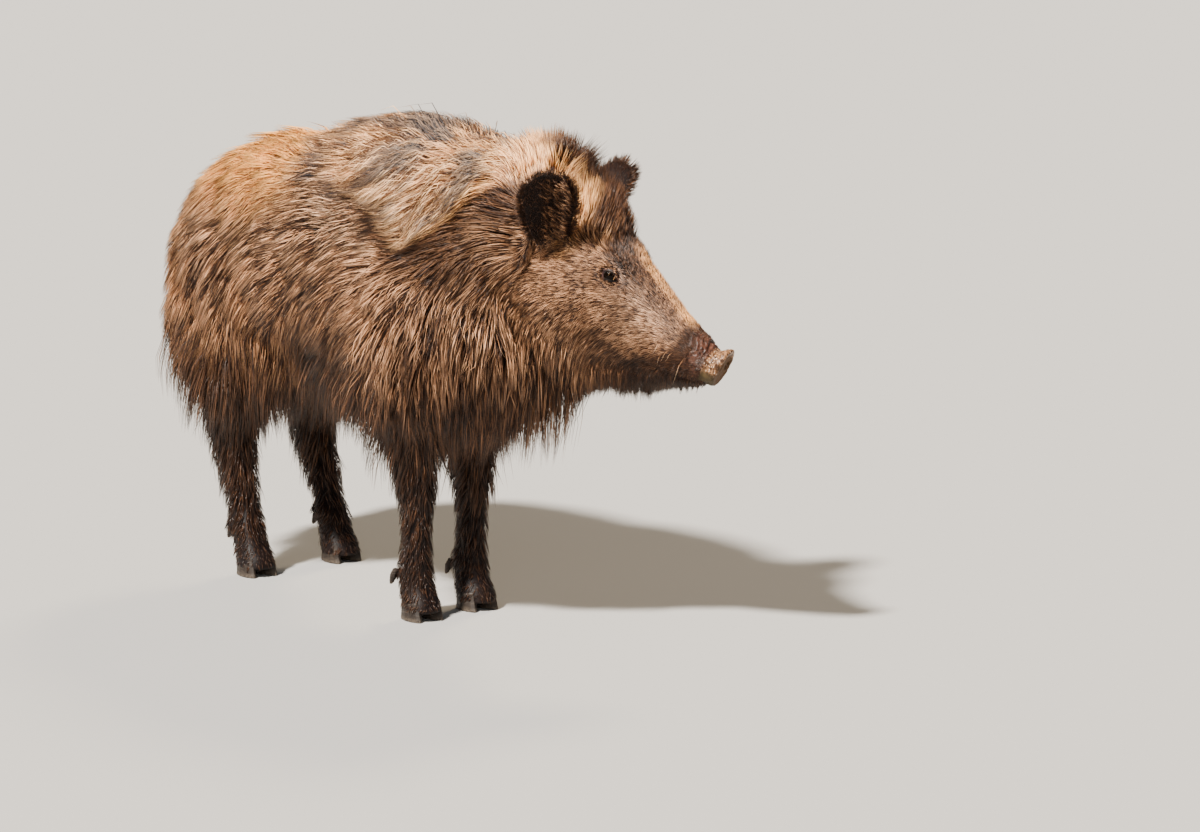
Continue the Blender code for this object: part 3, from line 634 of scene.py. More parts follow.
def shape_eye(local, side):
    """Raises the lids over the ball and sinks the skin behind it, with a fold over and two under."""
    height, ahead, high = eye_coordinates(local, side)
    reach = np.hypot(ahead, high)
    near = (height > EYE_BEHIND) & (reach < LIDS_REACH)
    gap = opening_gap(ahead, high)
    ball = np.sqrt(np.maximum(EYE_RADIUS**2 - reach**2, 0.0))
    lid = np.sqrt(np.maximum((EYE_RADIUS + LID) ** 2 - (0.93 * reach) ** 2, 0.0))
    hold = 1 - ramp(gap, 0.004, 0.013)
    outside = height + hold * np.maximum(lid - height, 0.0)
    outside += 0.0007 * bump(gap, 0.0012, 0.0010)
    for amount, place, width, way, none_at, all_at in LID_FOLDS:
        outside += amount * bump(gap, place, width) * ramp(way * high, none_at, all_at)
    tear = bump(high + 0.35 * (ahead - EYE_HALF_LENGTH), 0.0, 0.0011) * ramp(ahead, 0.0100, 0.0125)
    outside -= 0.0013 * tear * ramp(ahead, 0.0260, 0.0160)
    floor = np.maximum(ball - 0.0028, height - 0.0050 - 0.0020 * ramp(np.abs(ahead), 0.0095, 0.0070))
    rim = ramp(gap, -0.0006, 0.0004)
    shaped = floor + (outside - floor) * rim
    moved = np.where(near, shaped - height, 0.0)
    out = eye_axes(side)[0]
    return local + moved[:, None] * out


def disc_reach(y, z):
    """How far out on the disc a place lies: 0 at its middle and 1 at its rim."""
    return np.hypot(y / DISC_HALF[0], (z - DISC_MIDDLE) / DISC_HALF[1])


def nostril_reach(y, z):
    """How far from the nearer nostril's middle a place lies: 1 at its edge."""
    lean = 0.22 * (z - NOSTRIL[1])
    return np.hypot((np.abs(y) - NOSTRIL[0] - lean) / NOSTRIL_HALF[0], (z - NOSTRIL[1]) / NOSTRIL_HALF[1])


def mouth_height(x):
    """The mouth line on the side of the muzzle, rising a little at its corner."""
    return -0.0865 - 0.105 * (0.285 - x) + 0.80 * np.maximum(0.150 - x, 0.0)


def shape_muzzle(local, normals):
    x, y, z = local.T
    moved = local.copy()
    # the knobbly bulge of the lip, and the shelf between it and the disc
    upper = ramp(z, -0.098, -0.060)
    swell = 0.0016 * bump(x, 0.262, 0.011) - 0.0018 * bump(x, 0.2835, 0.0042)
    knobs = 0.0016 * np.abs(wander(local, 0.0058, 5)) + 0.0008 * wander(local, 0.0030, 6) - 0.0008
    knobs *= ramp(x, 0.232, 0.256) * (1 - 0.6 * ramp(x, 0.276, 0.284)) * ramp(x, 0.3000, 0.296)
    furrow = 0.0011 * np.sin(2 * math.pi * (x / 0.0085 + 1.1 * wander(local, 0.020, 3)))
    furrow *= ramp(x, 0.225, 0.245) * ramp(x, 0.282, 0.272) * ramp(z, -0.060, -0.040)
    amount = upper * (swell + furrow) + knobs
    # the mouth
    gap = z - mouth_height(x)
    in_mouth = ramp(x, 0.165, 0.215) * ramp(x, 0.2915, 0.283)
    amount -= 0.0028 * bump(gap, 0.0, 0.0016) * in_mouth
    amount += 0.0010 * bump(gap, 0.0048, 0.0028) * in_mouth
    amount -= 0.0008 * ramp(gap, -0.001, -0.003) * in_mouth * ramp(gap, -0.030, -0.012)
    moved += normals * amount[:, None]
    # the disc's rim, hollow face and nostrils
    out = disc_reach(y, z)
    face = ramp(x, 0.2965, 0.2990)
    depth = 0.0016 * bump(out, 0.86, 0.13) - 0.0012 * ramp(out, 0.85, 0.2)
    depth += 0.0010 * bump(y, 0.0, 0.0022) * ramp(out, 0.9, 0.5)
    depth += 0.00045 * wander(local, 0.0036, 8) + 0.00030 * wander(local, 0.0017, 9)
    hole = nostril_reach(y, z)
    pit = ramp(hole, 1.02, 0.62)
    depth += 0.0011 * bump(hole, 1.25, 0.22)
    depth -= 0.0120 * pit
    moved[:, 0] += face * depth
    return moved


def shape_body(points, normals, local):
    """A slight unevenness everywhere but on the snout."""
    amount = 0.0011 * wander(points, 0.045, 11) * ramp(local[:, 0], 0.23, 0.15)
    return points + normals * amount[:, None]


def held_inside(points, outline, margin):
    """Moves each point that is nearer the solids' outline than its margin back to that depth."""
    held = points.copy()
    for index in np.nonzero(margin > 0)[0]:
        point = Vector(points[index])
        near, facing = outline.find_nearest(point)[:2]
        over = (point - near).dot(facing) + margin[index]
        if over > 0:
            held[index] = point - facing * over
    return held


def make_skin(outline):
    skin = fused_skin()
    points = vertices_of(skin.data)
    local = to_head(points)
    margin = LEAST_COAT * ramp(local[:, 0], 0.238, 0.205) * ramp(points[:, 2], 0.055, 0.085)
    for side in SIDES:
        margin *= ramp(leaf_distance(local, side), 0.008, 0.020)
    set_vertices(skin.data, held_inside(points, outline, margin))
    mesh_data = bmesh.new()
    mesh_data.from_mesh(skin.data)
    bmesh.ops.triangulate(mesh_data, faces=mesh_data.faces)
    mesh_data.verts.ensure_lookup_table()
    for level in range(3):
        local = to_head(bmesh_points(mesh_data))
        wanted = np.zeros(len(local), bool)
        for side in SIDES:
            height, ahead, high = eye_coordinates(local, side)
            reach = np.hypot(ahead, 1.15 * high)
            wanted |= (height > EYE_BEHIND) & (reach < EYE_REFINED[level])
        if level == 0:
            wanted |= local[:, 0] > 0.236
        if level == 1:
            wanted |= local[:, 0] > 0.2925
            on_line = np.abs(local[:, 2] - mouth_height(local[:, 0])) < 0.005
            wanted |= on_line & (local[:, 0] > 0.115)
        refine(mesh_data, wanted)
    mesh_data.to_mesh(skin.data)
    mesh_data.free()
    mesh = skin.data
    points, normals = vertices_of(mesh), normals_of(mesh)
    local = to_head(points)
    points = shape_body(points, normals, local)
    local = to_head(points)
    turned = normals @ HEAD_TURNED
    on_snout = local[:, 0] > 0.10
    local[on_snout] = shape_muzzle(local[on_snout], turned[on_snout])
    for side in SIDES:
        local = shape_eye(local, side)
    set_vertices(mesh, from_head(local))
    return skin


# ---------------------------------------------------------------- the solids' outline

DEEPEST_COAT = 0.22
CUT_WIDTH = 0.0012


def outline_tree():
    """A search tree over the outer faces of the solids, in stance coordinates, without the cuts."""
    points, faces = [], []
    start = 0
    for name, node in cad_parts.items():
        if "claw" in name or name.startswith("eye"):
            continue
        co = vertices_of(node.data) - np.array(SHIFT)
        faces.append(triangles_of(node.data) + start)
        points.append(co)
        start += len(co)
    points, faces = np.concatenate(points), np.concatenate(faces)
    whole = BVHTree.FromPolygons(points.tolist(), faces.tolist())
    corners = points[faces]
    facing = unit(np.cross(corners[:, 1] - corners[:, 0], corners[:, 2] - corners[:, 0]))
    middles = corners.mean(axis=1)
    outer = []
    for face, middle, normal in zip(faces, middles, facing):
        start_at = Vector(middle + normal * 0.00002)
        hit = whole.ray_cast(start_at, Vector(normal), CUT_WIDTH)[0]
        if hit is None:
            outer.append(face.tolist())
    return BVHTree.FromPolygons(points.tolist(), outer)


def coat_depths(points, normals, outline):
    """The distance from each place on the skin, along its normal, to the solids' outline."""
    depths = np.zeros(len(points))
    for index, (point, normal) in enumerate(zip(points, normals)):
        hit = outline.ray_cast(Vector(point), Vector(normal), DEEPEST_COAT)
        near = outline.find_nearest(Vector(point), DEEPEST_COAT)
        across = near[3] if near[3] is not None else 0.0
        along = hit[3] if hit[3] is not None else across
        depths[index] = min(along, 2.5 * across + 0.004)
    return depths


# ---------------------------------------------------------------- regions, lie and markings

MID_TRUNK = -0.22
HEAD_BOTTOM = 0.355


def ear_frame(side):
    """The same four as ear_axes, with the way across the ear turned towards the snout."""
    root, lean, facing, across = ear_axes(side)
    return root, lean, facing, across * np.sign(across[0])


def leaf_distance(local, side, first_along=0.0):
    """How far each place lies from an ear's leaf, up to a few centimetres."""
    steps = [i / 16 for i in range(17)]
    tree = KDTree(17 * 17)
    for i, along in enumerate(steps):
        for j, share in enumerate(steps):
            start = first_along + (1 - first_along) * along
            tree.insert(ear_place(side, start, 2 * share - 1, 0.0), 17 * i + j)
    tree.balance()
    root, lean = ear_frame(side)[:2]
    distance = np.full(len(local), 0.05)
    for index in np.nonzero(np.linalg.norm(local - root - 0.5 * EAR_LENGTH * lean, axis=1) < 0.13)[0]:
        distance[index] = min(tree.find(local[index])[2], 0.05)
    return distance


def head_places(points):
    """Places in the head's frame; the legs, which lie below it, are put far behind it."""
    local = to_head(points)
    local[points[:, 2] < HEAD_BOTTOM, 0] = -1.0
    return local


def jaw_line(along):
    """How low the underside of the head lies at each place along it."""
    return np.interp(along, [row[0] for row in HEAD_SECTIONS], [row[2] for row in HEAD_SECTIONS])


def region_shares(points, local):
    """Soft shares of each region at each place, from 0 to 1."""
    x, y, z = points.T
    a, b, c = local.T
    shares = {}
    ear, base, fore_ear = (np.zeros(len(points)) for _ in range(3))
    for side in SIDES:
        root, *_, across = ear_frame(side)
        rel = local - root
        mine = (np.sign(b) == SIDES[side]) * ramp(np.abs(b), 0.030, 0.042)
        ear = np.maximum(ear, mine * ramp(leaf_distance(local, side, 0.10), 0.013, 0.007))
        near = ramp(leaf_distance(local, side), 0.032, 0.014)
        base = np.maximum(base, near * mine)
        fore_ear = np.maximum(fore_ear, mine * ramp(rel @ across, -0.002, 0.014))
    shares["ear"] = ear
    shares["ear_base"] = base * (1 - ear) * ramp(c, 0.045, 0.020)
    shares["fore_ear"] = fore_ear
    shares["tail"] = ramp(x, -0.655, -0.667) * ramp(np.abs(y), 0.05, 0.03)
    head = ramp(a, -0.075, -0.015)
    poll = ramp(a, 0.088, 0.050) * ramp(a, -0.150, -0.090) * ramp(c, 0.012, 0.044)
    shares["poll"] = poll * (1 - ear)
    shares["forehead"] = ramp(a, 0.045, 0.075) * ramp(a, 0.240, 0.200) * ramp(c + 0.42 * a, 0.040, 0.062)
    jowl = ramp(c, -0.092, -0.150) * ramp(a, 0.130, 0.070) * ramp(a, -0.22, -0.14)
    shares["throat"] = jowl * (1 - ear)
    chin = ramp(c - jaw_line(a), 0.030, 0.008) * ramp(a, 0.060, 0.100) * ramp(a, 0.292, 0.284)
    shares["chin"] = chin
    shares["face"] = head * (1 - ear) * (1 - poll)
    crest = ramp(z, 0.655, 0.700) * ramp(x, -0.22, -0.10)
    shares["crest"] = crest * (1 - head) * (1 - ear) * (1 - poll)
    fore = ramp(z, 0.350, 0.275) * (x > MID_TRUNK)
    hind = ramp(z, 0.345, 0.265) * (x <= MID_TRUNK)
    shares["leg"] = np.where(a < 0.0, np.maximum(fore, hind), 0.0) * (1 - shares["tail"])
    shares["belly"] = ramp(z, 0.440, 0.375) * (1 - shares["leg"]) * (1 - head) * (1 - shares["tail"])
    shares["head"] = head
    return shares


def over_cape_edge(points):
    """How far each place lies over the edge where the long coat of the withers ends."""
    x, _, z = points.T
    return z - 0.613 - 0.75 * np.clip(x - 0.130, 0, 0.13) - 0.36 * np.clip(0.130 - x, 0, 0.24)


def lie_of_coat(points, normals, local, shares):
    """The way the hair points at each place, as a unit vector along the skin."""
    x, y, z = points.T
    a, b, c = local.T

    def aim(ahead, aside, above):
        """The same direction everywhere, or one that differs from place to place."""
        return np.stack([np.broadcast_to(part, len(x)) for part in (ahead, aside, above)], axis=1)

    # on the body the coat runs back, and further down towards the haunch, the belly and the chest
    fall = 10 + 48 * ramp(x, 0.02, -0.56) + 40 * ramp(z, 0.53, 0.35)
    fall -= 4 * ramp(x, 0.0, 0.12) * bump(z, 0.590, 0.040)
    over = over_cape_edge(points)
    fall += 48 * ramp(x, -0.16, 0.02) * ramp(over, 0.000, 0.025) * ramp(over, 0.110, 0.065)
    fall -= 8 * ramp(x, -0.06, 0.04) * ramp(over, 0.010, -0.010) * ramp(z, 0.530, 0.560)
    fall += 30 * ramp(x, 0.08, 0.22) * ramp(z, 0.60, 0.44)
    fall = np.radians(np.clip(fall, 0, 84))
    flow = aim(-np.cos(fall), 0.0, -np.sin(fall))
    top = aim(-1.0, 0.30 * np.sign(y) * ramp(np.abs(y), 0.0, 0.06), -0.10)
    flow = blend(flow, top, ramp(normals[:, 2], 0.70, 0.92) * ramp(z, 0.60, 0.68))
    flow = blend(flow, aim(-0.18, 0.0, -1.0), ramp(x, -0.570, -0.640) * ramp(z, 0.66, 0.58))
    flow = blend(flow, aim(-0.26, 0.0, -1.0), shares["leg"])
    # the head, in its own frame: the bridge, the cheek, the underside, the poll and behind the ear
    on_head = aim(-1.0, 0.18 * np.sign(b), 0.14)
    on_head = blend(on_head, aim(-0.80, 0.0, -0.60), ramp(c + 0.30 * a, 0.045, -0.030))
    on_head = blend(on_head, aim(-0.24, 0.0, -0.97), ramp(c + 0.20 * a, -0.050, -0.120))
    on_head = blend(on_head, aim(1.25 * ramp(a, -0.13, 0.07) - 0.85, 0.25 * np.sign(b), 0.90), shares["poll"])
    on_head = blend(on_head, aim(-0.75, 0.0, -0.75), shares["ear_base"] * (1 - shares["fore_ear"]))
    flow = blend(flow, on_head @ HEAD_TURNED.T, np.maximum(shares["head"], shares["poll"]))
    flow = blend(flow, aim(-0.16, 0.0, -1.0), np.maximum(shares["throat"], shares["chin"]))
    neck_side = (1 - shares["head"]) * ramp(a, -0.24, -0.12) * ramp(c, 0.00, -0.06)
    flow = blend(flow, aim(-0.66, 0.0, -0.75), 0.85 * neck_side * (1 - shares["throat"]))
    for side in SIDES:
        on_this = shares["ear"] * (np.sign(b) == SIDES[side])
        flow = blend(flow, aim(*(HEAD_TURNED @ ear_frame(side)[1])), on_this)
    flow = blend(flow, aim(0.05, 0.0, -1.0), shares["tail"])
    # waves in the lie, widest on the flanks
    flow = unit(flow - normals * (flow * normals).sum(axis=1, keepdims=True))
    loose = (1 - shares["head"]) * (1 - shares["leg"]) * (1 - shares["ear"])
    angle = 0.44 * wander(points, 0.095, 21) + 0.56 * wander(points, 0.042, 22)
    angle = angle * (0.22 + 0.78 * loose)
    across = np.cross(normals, flow)
    flow = flow * np.cos(angle)[:, None] + across * np.sin(angle)[:, None]
    return unit(flow)


def markings(points, local, shares):
    """How golden, pale, dark, grey at the roots and wet the coat is at each place. In places the gold and
    pale marks carry painted light, the dark mark painted shade, and the wet mark painted shade on the head's
    far top and far ear.
    """
    x, _, z = points.T
    a, b, c = local.T
    s = shares
    patchy = wander(points, 0.060, 31)
    fine = wander(points, 0.022, 32)
    off_face = 1 - s["head"]
    off_head = off_face * (1 - s["poll"])
    over = over_cape_edge(points)
    bridge = ramp(np.abs(b), 0.020, 0.010) * ramp(c + 0.30 * a, -0.020, 0.010)
    cheek = ramp(np.hypot((a - 0.160) / 0.085, (c + 0.048) / 0.048), 1.15, 0.45)
    cape = ramp(x, -0.24, -0.12) * off_head
    edge = ramp(over, 0.000, 0.020)
    # Painted shade on the neck's side under the cape's edge, darkest just under it; it darkens the hair and
    # takes away gold and pale.
    shade_behind_ear = ramp(x, 0.08, 0.15) * ramp(over, 0.010, -0.015) * ramp(z, 0.400, 0.470) * off_face
    # The head's far side and far top carry dark hair and partly painted shade, where the head turns away and
    # the ear's shadow falls; gold is taken away there, and the far top and far ear are darkened further as
    # painted shade.
    far_side = np.maximum(ramp(b, -0.030, -0.008), ramp(a, 0.012, 0.034)) * ramp(a, -0.120, -0.060)
    far_top = np.maximum(ramp(b, -0.034, -0.014), ramp(a, 0.026, 0.044)) * ramp(c, 0.058, 0.082)
    far_top = far_top * ramp(a, -0.120, -0.060)
    muzzle = ramp(a, 0.130, 0.190) * ramp(c - 0.73 * (a - 0.25), -0.030, -0.060)
    muzzle = np.maximum(muzzle, ramp(a, 0.216, 0.240) * (1 - 0.5 * bridge * ramp(a, 0.250, 0.235)))

    # Gold on the top of the back and rump, on the rump's side and along the top of the bridge is golden coat
    # and partly painted sunlight.
    gold = np.maximum.reduce([
        ramp(z, 0.590, 0.680) * ramp(x, -0.67, -0.56) * ramp(x, -0.10, -0.28),
        0.42 * ramp(x, -0.48, -0.60) * ramp(z, 0.44, 0.58),
        0.66 * s["poll"],
        0.64 * s["head"] * bridge * ramp(a, 0.08, 0.13) * ramp(a, 0.245, 0.225),
        0.50 * s["ear_base"] * s["fore_ear"],
    ])
    gold = np.clip(gold + 0.20 * patchy * (gold > 0.02), 0, 1)
    gold = np.maximum(gold, cape * edge * (0.30 + 0.30 * ramp(x, 0.12, 0.20)))
    gold = gold * (1 - 0.7 * shade_behind_ear)
    gold = gold * (1 - 0.85 * np.maximum(far_top, far_side * s["poll"]))

    # Pale that rises towards the top of the body, off the head, is painted light from above.
    pale = np.maximum.reduce([
        0.40 * ramp(z, 0.50, 0.64) * off_head,
        0.34 * cape * edge,
        s["head"] * np.maximum(0.16 * cheek, 0.10 * ramp(c, -0.120, -0.060)),
    ])
    pale = np.clip(pale + 0.20 * patchy, 0, 1) * (1 - 0.7 * shade_behind_ear)

    patch = ramp(wander(points, 0.036, 33) + 0.5 * fine, -0.26, 0.16)
    grey = np.clip(ramp(x, -0.27, -0.15) * off_head * ramp(z, 0.645, 0.680) * patch, 0, 1)

    chest = ramp(x, -0.04, 0.06) * ramp(z, 0.350, 0.400)
    # The trunk darkens towards its bottom and in a low fold of the flank, less on the chest: painted shade.
    level = z + 0.035 * ramp(x, -0.20, -0.34) - 0.022 * bump(x, -0.10, 0.10)
    low = ramp(level, 0.470, 0.375) * (1 - 0.25 * chest)
    low = np.maximum(low, ramp(z, 0.530, 0.430) * bump(x, -0.10, 0.19))
    hung = 0.44 + 0.20 * ramp(a, 0.02, 0.08) + 0.38 * ramp(z, 0.470, 0.395)
    under_jaw = ramp(c, -0.114, -0.140) * ramp(a, -0.02, 0.04) * np.maximum(s["head"], s["throat"])
    # Painted shade in a band just under the cape's edge, where its long hair overhangs.
    shade_under_cape = ramp(x, -0.02, 0.06) * ramp(over, 0.022, 0.004) * ramp(over, -0.050, -0.012) * off_head
    brow = bump(np.hypot(a - 0.098, 1.4 * (c - 0.026)), 0.0, 0.020)
    dark = np.maximum.reduce([
        0.93 * s["leg"],
        # painted shade low on the trunk
        0.88 * low * off_face,
        (0.34 + 0.36 * ramp(z, 0.560, 0.605)) * shade_behind_ear,
        np.minimum(hung, 0.88) * s["throat"] * ramp(c, -0.120, -0.170),
        0.50 * under_jaw,
        0.98 * s["ear"] * (1 - 0.30 * s["fore_ear"]),
        0.25 * s["ear_base"] * (1 - s["fore_ear"]) * ramp(c, -0.05, -0.02),
        0.75 * s["tail"],
        0.84 * shade_under_cape,
        0.92 * muzzle,
        # dark hair and partly painted shade on the head's far side
        (0.20 + 0.78 * far_side) * s["poll"],
        0.97 * far_top,
        0.30 * s["head"] * (1 - 0.5 * cheek),
        0.84 * s["forehead"] * (1 - 0.60 * bridge) * ramp(a, 0.200, 0.130),
        0.50 * s["head"] * ramp(a, 0.06, 0.12) * (1 - 0.8 * bridge) * (1 - 0.2 * cheek),
        0.50 * brow * s["head"],
        0.88 * (s["forehead"] * ramp(a, 0.12, 0.08)),
        0.36 * bridge * s["head"],
    ])
    speck = ramp(wander(points, 0.0055, 35), 0.05, 0.45) * s["head"] * (1 - 0.25 * bridge)
    dark = np.maximum(dark + 0.26 * speck, 0.85 * s["chin"])
    dark = np.clip(dark + 0.18 * fine * (dark > 0.05), 0, 1)

    wet = np.maximum.reduce([
        0.9 * ramp(z, 0.24, 0.13),
        0.7 * muzzle,
        0.5 * ramp(z, 0.40, 0.35) * off_face,
        # on the far top of the head and the far ear: painted shade
        0.9 * np.maximum(far_top, s["ear"] * ramp(b, 0.00, 0.03)),
    ])
    return gold, pale, dark, grey, np.clip(wet, 0, 1)


def habit_of_coat(points, local, shares):
    """How the coat grows at each place: lift at root and tip, lengths, thickness, hang and rise."""
    x, _, z = points.T
    a, _, c = local.T
    grown = {}
    s = shares
    upper = ramp(z, 0.60, 0.70)

    def laid(*steps):
        """A base value, then (share, value) pairs laid over it in turn."""
        value = np.full(len(x), float(steps[0]))
        for share, new in steps[1:]:
            value = value + (new - value) * share
        return value

    near_eye = np.zeros(len(x))
    for side in SIDES:
        height, ahead, high = eye_coordinates(local, side)
        reach = np.hypot(ahead - 0.004, high)
        near_eye = np.maximum(near_eye, (height > -0.010) * ramp(reach, 0.030, 0.015))
    under_poll = s["forehead"] * ramp(a, 0.128, 0.080)
    face_lift = 24 + 14 * s["forehead"] + 26 * under_poll
    grown["lift"] = np.radians(
        laid(
            30,
            (upper, 26),
            (s["crest"], 40),
            (s["belly"], 38),
            (s["leg"], 20),
            (s["leg"] * ramp(z, 0.16, 0.08), 13),
            (s["face"], face_lift),
            (near_eye, 13),
            (s["chin"], 55),
            (s["throat"], 48),
            (s["poll"], 84),
            (s["ear_base"], 24),
            (s["ear"], 24),
            (s["tail"], 16),
        )
    )
    grown["tip_lift"] = np.radians(
        laid(
            8,
            (s["crest"], 6),
            (s["leg"], 6),
            (s["belly"], 30),
            (s["face"], 16),
            (under_poll, 58),
            (s["throat"], 34),
            (s["poll"], 80),
            (s["ear"], 18),
        )
    )
    grown["shortest"] = laid(
        0.034,
        (s["crest"], 0.080),
        (s["belly"], 0.070),
        (s["leg"], 0.030),
        (s["leg"] * ramp(z, 0.18, 0.09), 0.012),
        (s["face"], 0.010),
        (under_poll, 0.024),
        (s["face"] * ramp(a, 0.16, 0.24), 0.0055),
        (near_eye, 0.0036),
        (s["throat"], 0.055),
        (s["ear_base"], 0.010),
        (s["poll"], 0.048),
        (s["ear"], 0.008),
        (s["tail"], 0.012),
    )
    cheek = s["face"] * ramp(c + 0.20 * a, -0.055, -0.110) * ramp(a, 0.20, 0.10)
    grown["longest"] = laid(
        0.078,
        (upper, 0.080),
        (s["crest"], 0.135),
        (s["belly"], 0.120),
        (s["leg"], 0.062),
        (s["leg"] * ramp(z, 0.20, 0.11), 0.032),
        (s["leg"] * ramp(z, 0.10, 0.06), 0.018),
        (s["face"], 0.016),
        (s["forehead"], 0.032),
        (under_poll, 0.056),
        (cheek, 0.036),
        (s["face"] * ramp(a, 0.16, 0.24), 0.013),
        (near_eye, 0.0078),
        (s["chin"], 0.050),
        (s["throat"], 0.125),
        (s["ear_base"], 0.018),
        (s["poll"], 0.125),
        (s["ear"], 0.013),
        (s["tail"], 0.070),
    )
    grown["thick"] = laid(
        0.00072,
        (s["crest"], 0.00072),
        (s["leg"], 0.00074),
        (s["face"], 0.00052),
        (s["face"] * ramp(a, 0.14, 0.24), 0.00044),
        (cheek, 0.00056),
        (s["throat"], 0.00070),
        (s["poll"], 0.00062),
        (s["ear"], 0.00045),
    )
    grown["hang"] = laid(
        0.09,
        (s["belly"], 0.80),
        (s["throat"], 0.45),
        (s["chin"], 0.40),
        (s["leg"], 0.06),
        (s["crest"], 0.10),
        (s["poll"], 0.0),
        (s["tail"], 0.3),
    )
    grown["long_face"] = np.maximum(cheek, s["chin"])
    grown["upright"] = laid(0.0, (s["crest"], 0.35), (s["poll"] * ramp(a, -0.10, 0.02), 1.0))
    grown["gather"] = laid(
        0.74,
        (s["crest"], 0.66),
        (s["belly"], 0.75),
        (s["leg"], 0.90),
        (s["face"], 0.14),
        (cheek, 0.55),
        (s["throat"], 0.72),
        (s["poll"], 0.34),
        (s["ear"], 0.20),
    )
    return grown


def bare_places(local):
    """Where little or no hair grows: the lids, the disc, the lips and the mouth; then lids and corners."""
    a, _, c = local.T
    bare = ramp(a, 0.277, 0.284) * ramp(c - jaw_line(a), 0.004, 0.014)
    bare = np.maximum(bare, ramp(a, 0.286, 0.291))
    knobbly = ramp(a, 0.252, 0.270) * ramp(c - 0.60 * (a - 0.262), -0.060, -0.048)
    bare = np.maximum(bare, knobbly * 0.60)
    lids = np.zeros(len(a))
    pink = np.zeros(len(a))
    for side in SIDES:
        height, ahead, high = eye_coordinates(local, side)
        gap = opening_gap(ahead, high)
        near = (height > EYE_BEHIND) & (np.hypot(ahead, high) < LIDS_REACH)
        lids = np.maximum(lids, np.where(near, ramp(gap, 0.0042, 0.0026), 0.0))
        corner = ramp(np.abs(ahead), 0.0078, 0.0100) * ramp(gap, 0.0050, 0.0020)
        corner = np.maximum(corner, 0.16 * ramp(gap, 0.0030, 0.0042) * ramp(gap, 0.0120, 0.0070))
        pink = np.maximum(pink, np.where(near, corner, 0.0))
    mouth = 0.5 * bump(c - mouth_height(a), 0.0, 0.0018) * ramp(a, 0.20, 0.24)
    bare = np.maximum.reduce([bare, lids, mouth])
    return bare, lids, pink


# ---------------------------------------------------------------- the coat

BODY_AXIS = 0.55
LEG_TOP = 0.33
STRAY_SHARE = 0.035
ROOT_DEPTH = 0.0012
ON_END = 1.15
PAST_OUTLINE = 0.004
PAST_BELOW = 0.018


def pick_roots(weights, count, rng):
    """Even random places on the skin: face index and the three shares of its corners."""
    areas = np.maximum(weights, 0)
    ends = np.cumsum(areas)
    # one draw in each equal step keeps the places even
    draws = (np.arange(count) + rng.random(count)) / count * ends[-1]
    faces = np.minimum(np.searchsorted(ends, draws), len(ends) - 1)
    u, v = rng.random(count), rng.random(count)
    over = u + v > 1
    u[over], v[over] = 1 - u[over], 1 - v[over]
    return faces, np.stack([1 - u - v, u, v], axis=1)


def spread_order(points, cell):
    """Indices of a subset of points, no two in the same cell of a grid."""
    keys = cell_keys(np.floor(points / cell).astype(np.int64))
    return np.unique(keys, return_index=True)[1]


class Skin:
    """The finished skin's places, normals, lie and markings, and a search tree over it."""

    def __init__(self, obj, outline):
        mesh = obj.data
        self.points, self.normals = vertices_of(mesh), normals_of(mesh)
        self.faces = triangles_of(mesh)
        self.local = head_places(self.points)
        self.shares = region_shares(self.points, self.local)
        self.depth = coat_depths(self.points, self.normals, outline)
        self.flow = lie_of_coat(self.points, self.normals, self.local, self.shares)
        self.habit = habit_of_coat(self.points, self.local, self.shares)
        self.marks = dict(zip(MARKS, markings(self.points, self.local, self.shares)))
        self.bare, self.lids, self.pink = bare_places(self.local)
        self.outline = outline
        self.tree = BVHTree.FromPolygons(self.points.tolist(), self.faces.tolist())
        corners = self.points[self.faces]
        crossed = np.cross(corners[:, 1] - corners[:, 0], corners[:, 2] - corners[:, 0])
        self.areas = 0.5 * np.linalg.norm(crossed, axis=1)

    def at(self, values, faces, shares):
        picked = values[self.faces[faces]]
        if picked.ndim == 3:
            return (picked * shares[:, :, None]).sum(axis=1)
        return (picked * shares).sum(axis=1)

    def of_faces(self, values):
        return values[self.faces].mean(axis=1)

    def nearest(self, points):
        """For each point: the skin's normal under it, the lie there and the height."""
        places = np.empty_like(points)
        index = np.empty(len(points), np.int64)
        for i, point in enumerate(points):
            places[i], _, index[i] = self.tree.find_nearest(Vector(point))[:3]
        corners = self.faces[index]
        normal = unit(self.normals[corners].mean(axis=1))
        flow = unit(self.flow[corners].mean(axis=1))
        height = ((points - places) * normal).sum(axis=1)
        return normal, flow, height


def turn_about(vectors, axes, angles):
    c, s = np.cos(angles)[:, None], np.sin(angles)[:, None]
    along = (vectors * axes).sum(axis=1, keepdims=True) * axes
    return vectors * c + np.cross(axes, vectors) * s + along * (1 - c)


def gathered(path, root, flow, size, pull, rng):
    """Draws every path towards that of the middle tuft of its lock; locks are size apart."""
    count = len(root)
    middles = spread_order(root + rng.random(3) * size, size)
    tree = KDTree(len(middles))
    for i, m in enumerate(middles):
        tree.insert(root[m], i)
    tree.balance()
    jitter = rng.normal(size=(count, 3)) * (0.16 * size)
    mine = np.array([middles[tree.find(p)[1]] for p in root + jitter])
    offset = root - root[mine]
    alike = ramp((flow * flow[mine]).sum(axis=1), 0.2, 0.7)
    moved = path.copy()
    for k in (1, 2, 3):
        share = (k / 3) ** 1.2
        target = path[mine, k] + offset * (1 - 0.86 * share)
        moved[:, k] += (target - path[:, k]) * np.clip(pull * share * alike, 0, 0.94)[:, None]
    # How near the middle of its lock each tuft grows, for the painted light and shade of the locks.
    inward = np.clip(1 - 1.5 * np.linalg.norm(offset, axis=1) / size, 0, 1)
    return moved, mine, inward


